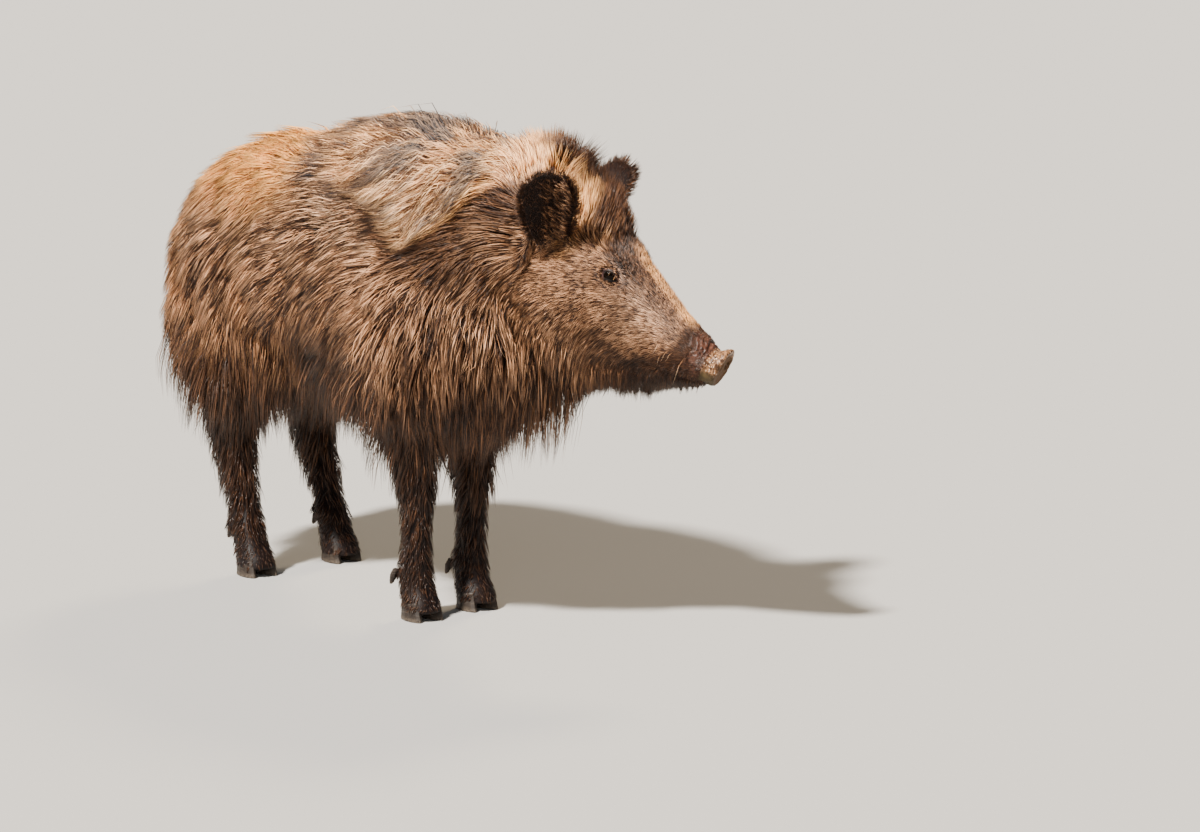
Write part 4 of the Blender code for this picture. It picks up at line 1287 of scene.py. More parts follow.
def held_near(path, outline, past):
    """Shortens, in place, each tuft whose tip lies past the solids' outline, least from below."""
    for i in range(len(path)):
        tip = Vector(path[i, 3])
        near, facing = outline.find_nearest(tip)[:2]
        over = (tip - near).dot(facing) - PAST_OUTLINE - (PAST_BELOW + past) * max(-facing.z, 0.0)
        over -= past * 0.5
        if over > 0:
            reach = (tip - Vector(path[i, 0])).dot(facing)
            shrink = max(1 - over / reach, 0.4) if reach > over else 0.5
            path[i] = path[i, 0] + (path[i] - path[i, 0]) * shrink


def grow(skin, weights, count, seed, bands, lock_size, stout, changes):
    """The tufts of one coat piece: roots, paths of three more points, thickness and markings."""
    rng = np.random.default_rng(seed)
    faces, shares = pick_roots(weights, count, rng)
    root = skin.at(skin.points, faces, shares)
    normal = unit(skin.at(skin.normals, faces, shares))
    flow = unit(skin.at(skin.flow, faces, shares))
    depth = skin.at(skin.depth, faces, shares)
    habit = {name: skin.at(values, faces, shares) for name, values in skin.habit.items()}
    lift = np.clip(habit["lift"] * changes.get("lift", 1.0) * (1 + 0.20 * rng.normal(size=count)), 0.08, 1.5)
    tip_lift = habit["tip_lift"] * changes.get("lift", 1.0)
    mean_rise = np.sin(lift) * 0.42 + np.sin(0.5 * (lift + tip_lift)) * 0.33 + np.sin(tip_lift) * 0.25
    length = np.clip(1.04 * depth / np.maximum(mean_rise, 0.05), habit["shortest"], habit["longest"])
    length = np.maximum(length, changes.get("shortest", 0.0)) * changes.get("length", 1.0)
    length *= 0.80 + 0.26 * rng.random(count)
    stray = rng.random(count) > 1 - STRAY_SHARE
    length *= np.where(stray, 1.18, 1.0)
    lift = np.where(stray, np.minimum(lift * 1.35, 1.5), lift)
    flow = turn_about(flow, normal, 0.10 * rng.normal(size=count))
    up = np.array((0.0, 0.0, 1.0))
    hang = habit["hang"] + changes.get("hang", 0.0)
    raised = unit(normal + habit["upright"][:, None] * up)
    paths = [root - normal * ROOT_DEPTH]
    aim = unit(flow * np.cos(lift)[:, None] + raised * np.sin(lift)[:, None])
    # where the coat stands on end, it reaches to the outline along its own way
    for i in np.nonzero(lift > ON_END)[0]:
        hit = skin.outline.ray_cast(Vector(root[i]), Vector(aim[i]), 0.2)
        if hit[3] is not None:
            reach = max(hit[3] * rng.uniform(0.84, 1.06), habit["shortest"][i])
            length[i] = min(reach, habit["longest"][i])
    # a bend to one side that neighbouring tufts share
    swing = 0.46 * wander(root, 0.022, 51) + 0.36 * wander(root, 0.042, 52) + 0.10 * rng.normal(size=count)
    for step in range(3):
        paths.append(paths[-1] + aim * (length / 3)[:, None])
        if step == 2:
            break
        here_normal, here_flow, height = skin.nearest(paths[-1])
        bend = lift + (tip_lift - lift) * (0.5, 1.0)[step]
        raised = unit(here_normal + habit["upright"][:, None] * up)
        wanted = here_flow * np.cos(bend)[:, None] + raised * np.sin(bend)[:, None]
        wanted = turn_about(unit(wanted), here_normal, swing * (1.0 if step else -0.6))
        wanted = wanted + here_normal * (0.30 * (height < 0.0022))[:, None]
        aim = unit(0.35 * aim + 0.65 * unit(wanted) - up * (hang * (0.5 + step))[:, None])
    path = np.stack(paths, axis=1)
    pull = habit["gather"] * changes.get("gather", 1.0) * (0.75 + 0.45 * rng.random(count))
    pull *= np.where(stray, 0.2, 1.0)
    path, wide, wide_inward = gathered(path, root, flow, lock_size, 0.62 * pull, rng)
    path, mine, inward = gathered(path, root, flow, 0.34 * lock_size, 0.80 * pull, rng)
    uneven = 0.80 + 0.30 * rng.random(count)[wide] + 0.10 * rng.random(count)[mine]
    path = root[:, None] + (path - root[:, None]) * uneven[:, None, None]
    held_near(path, skin.outline, changes.get("past", 0.0))
    spread = changes.get("spread", 0.0)
    tufts = {
        "bands": bands,
        "path": path,
        "normal": normal,
        "thick": stout * habit["thick"] * (0.72 + 0.50 * rng.random(count)),
        "chance": rng.random(count),
        # The inward shares brighten tufts at the middle of a lock and darken those at its edge: painted light
        # on the locks and painted shade in the gaps between them.
        "lock": np.clip(
            0.46 * rng.random(count)[mine]
            + 0.34 * rng.random(count)[wide]
            + 0.16 * inward
            + 0.16 * wide_inward
            - 0.06,
            0,
            1,
        ),
    }
    tufts["lock"] += spread * (rng.random(count) - tufts["lock"])
    for name, values in skin.marks.items():
        tufts[name] = np.maximum(skin.at(values, faces, shares), changes.get(name, 0.0))
    return tufts


def body_chart(points):
    """Each place on an unwrap of the skin: head at the lower left, body beside it, legs in a row above."""
    x, y, z = points.T
    local = head_places(points)
    along_body = (x + 0.70) / 0.95
    around = np.arctan2(y, z - BODY_AXIS) / (2 * math.pi) + 0.5
    on_head = local[:, 0] > -0.05
    along_head = (local[:, 0] + 0.16) / 0.48
    around_head = np.arctan2(local[:, 1], local[:, 2] + 0.05) / (2 * math.pi) + 0.5
    on_leg = (z < LEG_TOP) & ~on_head
    quarter = np.where(x > MID_TRUNK, 0, 2) + (y > 0)
    foot = np.array([FEET[name] for name in LEGS])[quarter]
    around_leg = np.arctan2(y - foot[:, 1], x - foot[:, 0]) / (2 * math.pi) + 0.5
    u = np.where(on_head, 0.02 + 0.46 * around_head, 0.52 + 0.46 * around)
    v = np.where(on_head, 0.02 + 0.60 * along_head, 0.02 + 0.60 * along_body)
    u = np.where(on_leg, 0.02 + 0.24 * quarter + 0.20 * around_leg, u)
    v = np.where(on_leg, 0.66 + 0.32 * z / LEG_TOP, v)
    return np.stack([np.clip(u, 0, 0.996), np.clip(v, 0, 0.996)], axis=1)


def spread_chart(chart):
    """The same unwrap cut to this piece's own part of it and spread over the whole sheet."""
    low, high = np.percentile(chart, 0.5, axis=0), np.percentile(chart, 99.5, axis=0)
    spread = (chart - low) / np.maximum(high - low, 1e-4)
    return np.clip(0.004 + 0.988 * spread, 0.002, 0.995)


# ---------------------------------------------------------------- node trees


class Value:
    """A socket in a node tree that takes part in arithmetic; each operator adds one Math node."""

    def __init__(self, maker, socket):
        self.maker = maker
        self.socket = socket

    def __add__(self, other):
        return self.maker.math("ADD", self, other)

    __radd__ = __add__

    def __mul__(self, other):
        return self.maker.math("MULTIPLY", self, other)

    __rmul__ = __mul__

    def __sub__(self, other):
        return self.maker.math("SUBTRACT", self, other)

    def __rsub__(self, other):
        return self.maker.math("SUBTRACT", other, self)

    def __truediv__(self, other):
        return self.maker.math("DIVIDE", self, other)

    def __pow__(self, other):
        return self.maker.math("POWER", self, other)

    def ramped(self, none_at, all_at):
        """0 at none_at and 1 at all_at, eased."""
        return self.maker.value(
            "ShaderNodeMapRange",
            {"interpolation_type": "SMOOTHSTEP"},
            {"Value": self, "From Min": none_at, "From Max": all_at},
            "Result",
        )


class Maker:
    """Adds nodes to one tree."""

    def __init__(self, tree):
        self.tree = tree

    def node(self, kind, settings=None, sockets=None):
        made = self.tree.nodes.new(kind)
        for name, setting in (settings or {}).items():
            if name == "stops":
                self.set_stops(made.color_ramp, setting)
            else:
                setattr(made, name, setting)
        for name, given in (sockets or {}).items():
            socket = made.inputs[name]
            source = given.socket if isinstance(given, Value) else given
            if isinstance(source, bpy.types.NodeSocket):
                self.tree.links.new(source, socket)
            else:
                socket.default_value = source
        return made

    @staticmethod
    def set_stops(ramp_data, stops):
        while len(ramp_data.elements) < len(stops):
            ramp_data.elements.new(0.5)
        for element, (position, colour) in zip(ramp_data.elements, stops):
            element.position = position
            element.color = (*colour, 1.0)

    def value(self, kind, settings=None, sockets=None, output=0):
        return Value(self, self.node(kind, settings, sockets).outputs[output])

    def math(self, operation, *terms):
        return self.value("ShaderNodeMath", {"operation": operation}, dict(enumerate(terms)))

    def vector(self, operation, *terms):
        return self.value("ShaderNodeVectorMath", {"operation": operation}, dict(enumerate(terms)))

    def scaled(self, vector, scale):
        return self.value("ShaderNodeVectorMath", {"operation": "SCALE"}, {0: vector, "Scale": scale})

    def mixed(self, share, a, b):
        settings = {"data_type": "RGBA", "blend_type": "MIX"}
        return self.value("ShaderNodeMix", settings, {0: share, 6: colour_of(a), 7: colour_of(b)}, 2)

    def attributes(self, *names):
        return [self.value("ShaderNodeAttribute", {"attribute_name": name}, output="Fac") for name in names]

    def place(self):
        return self.value("ShaderNodeTexCoord", output="Object")

    def relief(self, strength, distance, height):
        sockets = {"Strength": strength, "Distance": distance, "Height": height}
        return self.value("ShaderNodeBump", None, sockets, "Normal")

    def noise(self, coordinates, scale, detail, roughness=0.5):
        sockets = {"Vector": coordinates, "Scale": scale, "Detail": detail, "Roughness": roughness}
        return self.value("ShaderNodeTexNoise", None, sockets, "Fac")


def colour_of(given):
    return (*given, 1.0) if isinstance(given, tuple) and len(given) == 3 else given


def tuft_tree():
    """Geometry Nodes: a tapered three-sided tuft on every root, bent along its own path."""
    tree = bpy.data.node_groups.new("tufts", "GeometryNodeTree")
    interface = tree.interface
    interface.new_socket("Roots", in_out="INPUT", socket_type="NodeSocketGeometry")
    for name, kind, start in (
        ("Bands", "NodeSocketInt", 3),
        ("Fullness", "NodeSocketFloat", 0.9),
        ("Patch", "NodeSocketFloat", 0.003),
        ("Thickness spread", "NodeSocketFloat", 0.25),
        ("Seed", "NodeSocketInt", 1),
        ("Hair", "NodeSocketMaterial", None),
    ):
        socket = interface.new_socket(name, in_out="INPUT", socket_type=kind)
        if start is not None:
            socket.default_value = start
    interface.new_socket("Tufts", in_out="OUTPUT", socket_type="NodeSocketGeometry")
    maker = Maker(tree)
    given = maker.node("NodeGroupInput").outputs

    def named(name, kind="FLOAT_VECTOR"):
        return maker.value("GeometryNodeInputNamedAttribute", {"data_type": kind}, {"Name": name})

    def stored(geometry, name, value, kind="FLOAT", domain="POINT"):
        settings = {"data_type": kind, "domain": domain}
        sockets = {"Geometry": geometry, "Name": name, "Value": value}
        return maker.node("GeometryNodeStoreNamedAttribute", settings, sockets).outputs[0]

    cone = maker.node(
        "GeometryNodeMeshCone",
        {"fill_type": "NGON"},
        {"Vertices": 3, "Side Segments": given["Bands"], "Radius Bottom": 1.0, "Depth": 1.0},
    )
    own = maker.value("GeometryNodeInputPosition")
    kept = stored(cone.outputs["Mesh"], "own_place", own, "FLOAT_VECTOR")
    spread = Value(maker, given["Thickness spread"])
    stout = maker.node("FunctionNodeRandomValue", {"data_type": "FLOAT"}, {"Seed": given["Seed"]})
    tree.links.new((1 - spread).socket, stout.inputs[2])
    tree.links.new((1 + spread).socket, stout.inputs[3])
    roots = stored(given["Roots"], "stout", stout.outputs[1])
    placed = maker.node("GeometryNodeInstanceOnPoints", None, {"Points": roots, "Instance": kept})
    real = maker.node("GeometryNodeRealizeInstances", None, {"Geometry": placed.outputs[0]})

    place = named("own_place")
    split = maker.node("ShaderNodeSeparateXYZ", None, {0: place})
    across, over, along = (Value(maker, split.outputs[i]) for i in range(3))
    rest = 1 - along
    full = Value(maker, given["Fullness"]) + 2.0 * along
    stout_again = named("stout", "FLOAT")
    first = maker.scaled(named("first_handle"), 3 * rest * rest * along)
    second = maker.scaled(named("second_handle"), 3 * rest * along * along)
    last = maker.scaled(named("tip"), along * along * along)
    side = maker.scaled(named("side"), across * full * stout_again)
    rise = maker.scaled(named("rise"), over * full * stout_again)
    spine = maker.vector("ADD", maker.vector("ADD", first, second), last)
    body = maker.vector("ADD", spine, maker.vector("ADD", side, rise))
    bent = maker.node(
        "GeometryNodeSetPosition",
        None,
        {"Geometry": real.outputs[0], "Offset": maker.vector("SUBTRACT", body, place)},
    )
    smooth = maker.node("GeometryNodeSetShadeSmooth", None, {"Geometry": bent.outputs[0]})
    patch = named("patch")
    turn = maker.math("ARCTAN2", over, across) / (2 * math.pi) + 0.5
    corner = maker.value("ShaderNodeCombineXYZ", None, {0: turn, 1: along, 2: 0.0})
    sheet = maker.vector("ADD", patch, maker.scaled(corner, Value(maker, given["Patch"])))
    mapped = stored(smooth.outputs[0], "OFBake", sheet, "FLOAT2", "CORNER")
    marked = stored(mapped, "along", along)
    painted = maker.node("GeometryNodeSetMaterial", None, {"Geometry": marked, "Material": given["Hair"]})
    out = maker.node("NodeGroupOutput")
    tree.links.new(painted.outputs[0], out.inputs[0])
    return tree


HELPERS = ("own_place", "first_handle", "second_handle", "tip", "side", "rise", "patch", "stout")


def tuft_object(name, tufts, tree, material, seed):
    """One coat piece: its roots with their paths, made into a plain mesh by the tuft tree."""
    path = tufts["path"]
    root = path[:, 0]
    one, two, three = (path[:, k] - root for k in (1, 2, 3))
    mesh = bpy.data.meshes.new(name + "_roots")
    mesh.vertices.add(len(root))
    set_vertices(mesh, root + np.array(SHIFT))
    side = unit(np.cross(three, tufts["normal"]))
    rise = unit(np.cross(side, three))
    thick = tufts["thick"][:, None]
    # the handles of the curve that runs through all four points of the path
    keep_vector(mesh, "first_handle", (18 * one - 9 * two + 2 * three) / 6)
    keep_vector(mesh, "second_handle", (-9 * one + 18 * two - 5 * three) / 6)
    keep_vector(mesh, "tip", three)
    keep_vector(mesh, "side", side * thick)
    keep_vector(mesh, "rise", rise * thick * 0.62)
    chart = spread_chart(body_chart(root))
    keep_vector(mesh, "patch", np.column_stack([chart, np.zeros(len(chart))]))
    for mark in ("chance", "lock", *MARKS):
        keep_value(mesh, mark, tufts[mark])
    holder = bpy.data.objects.new(name + "_roots", mesh)
    bpy.context.scene.collection.objects.link(holder)
    modifier = holder.modifiers.new("tufts", "NODES")
    modifier.node_group = tree
    wanted = {"Bands": tufts["bands"], "Seed": seed, "Hair": material}
    for item in tree.interface.items_tree:
        if item.in_out == "INPUT" and item.name in wanted:
            modifier[item.identifier] = wanted[item.name]
    made = baked(holder, name)
    made.data.materials.clear()
    made.data.materials.append(material)
    for helper in HELPERS:
        found = made.data.attributes.get(helper)
        if found:
            made.data.attributes.remove(found)
    return made


def joined(parts):
    """Several sets of tufts as one."""
    whole = dict(parts[0])
    for key, value in whole.items():
        if isinstance(value, np.ndarray):
            whole[key] = np.concatenate([part[key] for part in parts])
    return whole


# ---------------------------------------------------------------- materials


def new_material(name, start):
    """An empty material and its maker, with a Principled shader set to the starting numbers."""
    material = bpy.data.materials.new(name)
    material.use_nodes = True
    material.node_tree.nodes.clear()
    maker = Maker(material.node_tree)
    shader = maker.node("ShaderNodeBsdfPrincipled", None, start)
    out = maker.node("ShaderNodeOutputMaterial")
    maker.tree.links.new(shader.outputs[0], out.inputs["Surface"])
    return material, maker, shader


def join_up(maker, shader, **sources):
    for name, source in sources.items():
        maker.tree.links.new(source.socket, shader.inputs[name.replace("_", " ")])


def hair_material():
    """Bristle: dark at the root, paler to the tip, in a mix of dark and bright hairs."""
    material, maker, shader = new_material("boar_bristle", {"Specular IOR Level": 0.32})
    along, chance, lock = maker.attributes("along", "chance", "lock")
    # The lock value carries painted shade between locks, and the markings carry painted light and shade in
    # places.
    gold, pale, dark, grey, wet = maker.attributes(*MARKS)
    dark = (dark + (lock * 0.6 + chance * 0.4 - 0.5) * dark * (1 - dark) * 2.8).ramped(0.0, 1.0)
    bright = (chance * 0.42 + lock * 0.58 + gold * 0.12 + pale * 0.05).ramped(0.475, 0.54)
    dim_middle = maker.mixed(lock, (0.009, 0.003, 0.0015), (0.044, 0.017, 0.007))
    dim_tip = maker.mixed(lock, (0.022, 0.008, 0.004), (0.110, 0.046, 0.020))
    middle = maker.mixed(lock, (0.300, 0.120, 0.048), (0.560, 0.260, 0.115))
    tip = maker.mixed(pale, (1.000, 0.540, 0.290), (1.000, 0.720, 0.480))
    middle = maker.mixed(pale * 0.5, middle, (0.640, 0.320, 0.165))
    middle = maker.mixed(gold, middle, (0.860, 0.360, 0.085))
    dim_middle = maker.mixed(gold, dim_middle, (0.090, 0.030, 0.008))
    dim_tip = maker.mixed(gold, dim_tip, (0.300, 0.110, 0.026))
    tip = maker.mixed(gold, tip, (1.000, 0.520, 0.140))
    in_patch = (grey + lock * 0.7 - 0.80).ramped(-0.05, 0.10)
    middle = maker.mixed(in_patch, middle, (0.060, 0.046, 0.046))
    dim_middle = maker.mixed(in_patch, dim_middle, (0.018, 0.014, 0.016))
    dim_tip = maker.mixed(in_patch, dim_tip, (0.040, 0.032, 0.034))
    tip = maker.mixed(in_patch * 0.75, tip, (0.150, 0.110, 0.096))
    middle = maker.mixed(bright, dim_middle, middle)
    tip = maker.mixed(bright, dim_tip, tip)
    root = maker.mixed(gold * 0.6, (0.008, 0.003, 0.002), (0.040, 0.014, 0.004))
    body = maker.mixed(along.ramped(0.10, 0.52), root, middle)
    body = maker.mixed(along.ramped(0.40, 0.80), body, tip)
    black = maker.mixed(lock, (0.0050, 0.0022, 0.0013), (0.038, 0.0140, 0.0055))
    pale_few = chance.ramped(0.70, 0.88) * along.ramped(0.20, 0.75)
    black = maker.mixed(pale_few * (0.54 - 0.30 * wet), black, (0.340, 0.150, 0.068))
    body = maker.mixed(dark, body, black)
    body = maker.mixed(wet * 0.30, body, (0.012, 0.005, 0.003))
    join_up(maker, shader, Base_Color=body, Roughness=0.46 - 0.18 * wet)
    return material


def skin_material():
    """Hide under the coat with its markings, bare lids, knobbly lip and the muddy disc; painted highlights on
    the shelf, and painted shade under it, in the nostrils and along the mouth line.
    """
    material, maker, shader = new_material("boar_hide", {"Specular IOR Level": 0.16})
    place = maker.place()
    gold, pale, dark, grey, wet = maker.attributes(*MARKS)
    lids, pink, pit, disc, lip, shelf, olive = maker.attributes(
        "lids", "pink", "pit", "disc", "lip", "shelf", "olive"
    )
    broad = maker.noise(place, 26.0, 3.0)
    middling = maker.noise(place, 130.0, 3.0, 0.6)
    fine = maker.noise(place, 300.0, 3.0, 0.6)
    pores = maker.noise(place, 900.0, 2.0, 0.6)
    # The markings' painted light and shade reach the hide under the coat as well.
    under = maker.mixed(broad, (0.012, 0.006, 0.004), (0.026, 0.012, 0.007))
    under = maker.mixed(fine.ramped(0.45, 0.7) * 0.5, under, (0.090, 0.045, 0.024))
    under = maker.mixed(gold * 0.5, under, (0.080, 0.034, 0.013))
    under = maker.mixed(pale * 0.4, under, (0.060, 0.030, 0.018))
    under = maker.mixed(grey * 0.8, under, (0.022, 0.018, 0.018))
    under = maker.mixed(dark, under, (0.004, 0.002, 0.002))
    rim = maker.mixed(fine, (0.0016, 0.0010, 0.0010), (0.0070, 0.0042, 0.0038))
    flesh = maker.mixed(fine, (0.060, 0.026, 0.024), (0.170, 0.085, 0.078))
    colour = maker.mixed(pink, under, flesh)
    colour = maker.mixed(lids, colour, rim)
    raw = maker.mixed(middling.ramped(0.35, 0.65), (0.016, 0.006, 0.004), (0.090, 0.036, 0.023))
    raw = maker.mixed(fine.ramped(0.60, 0.72) * 0.4, raw, (0.200, 0.100, 0.062))
    colour = maker.mixed(lip, colour, raw)
    ledge = maker.mixed(middling.ramped(0.38, 0.60), (0.032, 0.014, 0.007), (0.220, 0.108, 0.050))
    # Pale wet spots on the shelf are painted highlights.
    ledge = maker.mixed(fine.ramped(0.57, 0.66) * 0.8, ledge, (0.780, 0.560, 0.400))
    ledge = maker.mixed(fine.ramped(0.46, 0.38) * 0.8, ledge, (0.016, 0.007, 0.004))
    colour = maker.mixed(shelf, colour, ledge)
    # The olive lower side of the shelf is mud, darkened as painted shade.
    colour = maker.mixed(olive, colour, maker.mixed(middling, (0.013, 0.009, 0.004), (0.060, 0.040, 0.016)))
    mud = maker.mixed(middling, (0.034, 0.018, 0.007), (0.110, 0.062, 0.024))
    face = maker.mixed(fine.ramped(0.40, 0.62) * 0.6, mud, (0.100, 0.042, 0.024))
    colour = maker.mixed(disc, colour, face)
    # Near-black in the nostrils and along the mouth line is painted shade in the recesses.
    colour = maker.mixed(pit, colour, (0.006, 0.004, 0.003))
    damp = maker.math("MAXIMUM", maker.math("MAXIMUM", lip, shelf), lids)
    shine = 0.66 - 0.22 * damp - 0.16 * wet + 0.34 * disc
    height = 0.45 * fine + 0.25 * pores + 0.6 * middling * damp
    join_up(
        maker, shader, Base_Color=colour, Roughness=shine, Normal=maker.relief(0.7, 0.0012, height)
    )
    return material


def eye_material():
    start = {"Roughness": 0.05, "Specular IOR Level": 0.08}
    material, maker, shader = new_material("boar_eye", start)
    out, ahead = maker.attributes("gaze", "white")
    grain = maker.noise(maker.place(), 900.0, 3.0)
    iris = maker.mixed(grain, (0.0010, 0.0005, 0.0003), (0.0034, 0.0016, 0.0008))
    colour = maker.mixed(out.ramped(0.70, 0.55), iris, (0.0010, 0.0008, 0.0008))
    colour = maker.mixed(out.ramped(0.80, 0.86), (0.0010, 0.0008, 0.0008), colour)
    colour = maker.mixed(ahead, colour, (0.012, 0.007, 0.005))
    join_up(maker, shader, Base_Color=colour)
    return material


def horn_material():
    start = {"Specular IOR Level": 0.20}
    material, maker, shader = new_material("boar_horn", start)
    place = maker.place()
    stretched = maker.value("ShaderNodeMapping", None, {"Vector": place, "Scale": (60.0, 60.0, 520.0)})
    rings = maker.noise(stretched, 1.0, 2.0)
    blotch = maker.noise(place, 60.0, 4.0)
    scratch = maker.noise(place, 420.0, 3.0, 0.7)
    colour = maker.mixed(blotch, (0.006, 0.0045, 0.004), (0.030, 0.022, 0.017))
    colour = maker.mixed(rings.ramped(0.5, 0.7) * 0.5, colour, (0.050, 0.038, 0.028))
    (worn,) = maker.attributes("worn")
    colour = maker.mixed(worn * scratch.ramped(0.35, 0.6), colour, (0.080, 0.062, 0.046))
    relief = maker.relief(0.6, 0.0008, 0.7 * rings + 0.3 * scratch)
    join_up(maker, shader, Base_Color=colour, Roughness=0.40 + 0.25 * scratch, Normal=relief)
    return material


# ---------------------------------------------------------------- eyes and claws

BALL_SHARE = 0.985
CORNEA_RISE = 0.028
CLAW_ROUNDING = 0.0012
CLAW_EDGE = 0.0022
RING_HEIGHT = 0.0003
RING_SPACING = 0.0042


def finish_piece(obj, material, body="root", slot=None, nodes=()):
    """Gives a finished mesh its material and its place in the frame's table."""
    if not obj.data.materials:
        obj.data.materials.append(material)
    obj.data.shade_smooth()
    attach(obj, body)
    if nodes:
        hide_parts(*nodes)
    return obj


def make_eyeball(side, material):
    """A ball with a slightly raised cornea; the gaze attribute grows towards its middle."""
    out, forward = eye_axes(side)[:2]
    mesh_data = bmesh.new()
    bmesh.ops.create_icosphere(mesh_data, subdivisions=5, radius=1.0)
    mesh_data.normal_update()
    points = bmesh_points(mesh_data)
    gaze = points @ out
    radius = EYE_RADIUS * (BALL_SHARE + CORNEA_RISE * ramp(gaze, 0.80, 1.0))
    placed = from_head(on_side(EYE_AT, side) + points * radius[:, None]) + np.array(SHIFT)
    eye = object_from_bmesh("eyeball_" + side, mesh_data)
    set_vertices(eye.data, placed)
    keep_value(eye.data, "gaze", ramp(gaze, 0.0, 1.0))
    keep_value(eye.data, "white", ramp(np.abs(points @ forward), 0.80, 0.90))
    return finish_piece(eye, material, slot="eye", nodes=["eye_" + side])


def make_horn(node, material):
    """A claw with its edges rounded and growth rings round it."""
    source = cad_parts[node]
    claw = bpy.data.objects.new(node + "_horn", source.data.copy())
    bpy.context.scene.collection.objects.link(claw)
    mesh_data = bmesh.new()
    mesh_data.from_mesh(claw.data)
    bmesh.ops.remove_doubles(mesh_data, verts=mesh_data.verts, dist=0.00002)
    bmesh.ops.recalc_face_normals(mesh_data, faces=mesh_data.faces)
    bmesh.ops.dissolve_limit(
        mesh_data, angle_limit=math.radians(3), verts=mesh_data.verts, edges=mesh_data.edges
    )
    mesh_data.to_mesh(claw.data)
    mesh_data.free()
    claw.data.materials.clear()
    bevel = claw.modifiers.new("edges", "BEVEL")
    bevel.width = CLAW_ROUNDING
    bevel.segments = 3
    bevel.limit_method = "ANGLE"
    bevel.angle_limit = math.radians(25)
    claw = baked(claw, node + "_horn")
    mesh_data = bmesh.new()
    mesh_data.from_mesh(claw.data)
    bmesh.ops.triangulate(mesh_data, faces=mesh_data.faces)
    for _ in range(3):
        long_edges = [edge for edge in mesh_data.edges if edge.calc_length() > CLAW_EDGE]
        bmesh.ops.subdivide_edges(mesh_data, edges=long_edges, cuts=1, use_grid_fill=True)
        leave_triangles(mesh_data)
    mesh_data.to_mesh(claw.data)
    mesh_data.free()
    points, normals = vertices_of(claw.data), normals_of(claw.data)
    low, high = points[:, 2].min(), points[:, 2].max()
    upright = 1 - np.abs(normals[:, 2]) ** 2
    rings = RING_HEIGHT * np.sin(2 * math.pi * (points[:, 2] - 0.2 * points[:, 0]) / RING_SPACING)
    rings += 0.00022 * wander(points, 0.006, 41)
    inner = ramp(points[:, 2], low + 0.001, low + 0.004)
    points += normals * ((rings - RING_HEIGHT) * upright * inner)[:, None]
    set_vertices(claw.data, points)
    keep_value(claw.data, "worn", ramp(points[:, 2], low + 0.30 * (high - low), low))
    return finish_piece(claw, material, slot="horn", nodes=[node])


# ---------------------------------------------------------------- fringes placed one by one

EAR_HAIR = 0.00042
LASH = 0.00020
WHISKER = 0.00040


def out_of_head(roots, aims):
    """Lists of places and directions in the head's frame, as arrays in stance coordinates."""
    return from_head(np.array(roots)), np.array(aims) @ HEAD_TURNED.T


def strands(roots, aims, lengths, thick, bend, marks, seed, facing):
    """Tufts along given aims that bend towards a common direction, as set by bend."""
    rng = np.random.default_rng(seed)
    count = len(roots)
    aims = unit(aims)
    path = [roots]
    for _ in range(3):
        path.append(path[-1] + aims * (lengths / 3)[:, None])
        aims = unit(aims + bend)
    made = {
        "bands": 2,
        "path": np.stack(path, axis=1),
        "normal": facing,
        "thick": thick * (0.8 + 0.4 * rng.random(count)),
        "chance": rng.random(count),
        "lock": rng.random(count),
    }
    for mark in MARKS:
        made[mark] = np.full(count, marks.get(mark, 0.0))
    return made


def ear_fringe(side, seed):
    """The fringe that stands out round an ear's rim, longest behind."""
    rng = np.random.default_rng(seed)
    lean = ear_axes(side)[1]
    roots, aims, lengths, facing = [], [], [], []
    for _ in range(1300):
        along = 0.10 + 0.92 * rng.random() ** 0.8
        edge = 1 if rng.random() < 0.5 else -1
        share = edge * (1 - 0.16 * rng.random() ** 2)
        if along > 0.90:
            share = 2 * rng.random() - 1
        along = min(along, 0.985)
        here = ear_place(side, along, share, rng.uniform(-0.6, 0.6))
        middle = ear_place(side, along, 0.0, 0.0)
        out = unit(here - middle + 1e-6)
        aim = out * (1.0 - 0.75 * ramp(np.array(along), 0.75, 1.0)) + lean * (0.55 + 0.9 * along**3)
        aim = aim + 0.16 * rng.normal(size=3)
        roots.append(here)
        aims.append(unit(aim))
        lengths.append(rng.uniform(0.010, 0.021))
        facing.append(np.cross(out, lean))
    roots, aims = out_of_head(roots, aims)
    facing = unit(np.array(facing) @ HEAD_TURNED.T + 0.001)
    bend = 0.10 * (HEAD_TURNED @ lean)
    return strands(roots, aims, np.array(lengths), EAR_HAIR, bend, {"dark": 1.0}, seed, facing)


def ear_lining(side, seed):
    """Brown hair that sweeps from an ear's front edge back across its hollow, and black hair behind."""
    rng = np.random.default_rng(seed)
    lean, facing, across = ear_frame(side)[1:]
    forward = 1.0 if np.cross(lean, facing)[0] > 0 else -1.0
    roots, aims, lengths, dark = [], [], [], []
    for index in range(1700):
        brown = index < 650
        along = rng.uniform(0.02, 0.80) if brown else rng.uniform(0.04, 0.97)
        share = forward * (0.98 - 1.05 * rng.random() ** 1.9 if brown else rng.uniform(-0.98, 0.9))
        here = ear_place(side, along, share, 1.0)
        aim = 0.75 * lean + (0.42 if brown else 0.30) * facing - across * (0.55 if brown else 0.05)
        roots.append(here)
        aims.append(unit(aim + 0.16 * rng.normal(size=3)))
        lengths.append(rng.uniform(0.014, 0.028) if brown else rng.uniform(0.006, 0.013))
        dark.append((0.25 + 0.5 * rng.random()) if brown else 1.0)
    roots, aims = out_of_head(roots, aims)
    bend = 0.12 * (HEAD_TURNED @ (lean - 0.5 * facing))
    out = np.broadcast_to(HEAD_TURNED @ facing, roots.shape)
    made = strands(roots, aims, np.array(lengths), EAR_HAIR, bend, {}, seed, out)
    made["dark"] = np.array(dark)
    return made


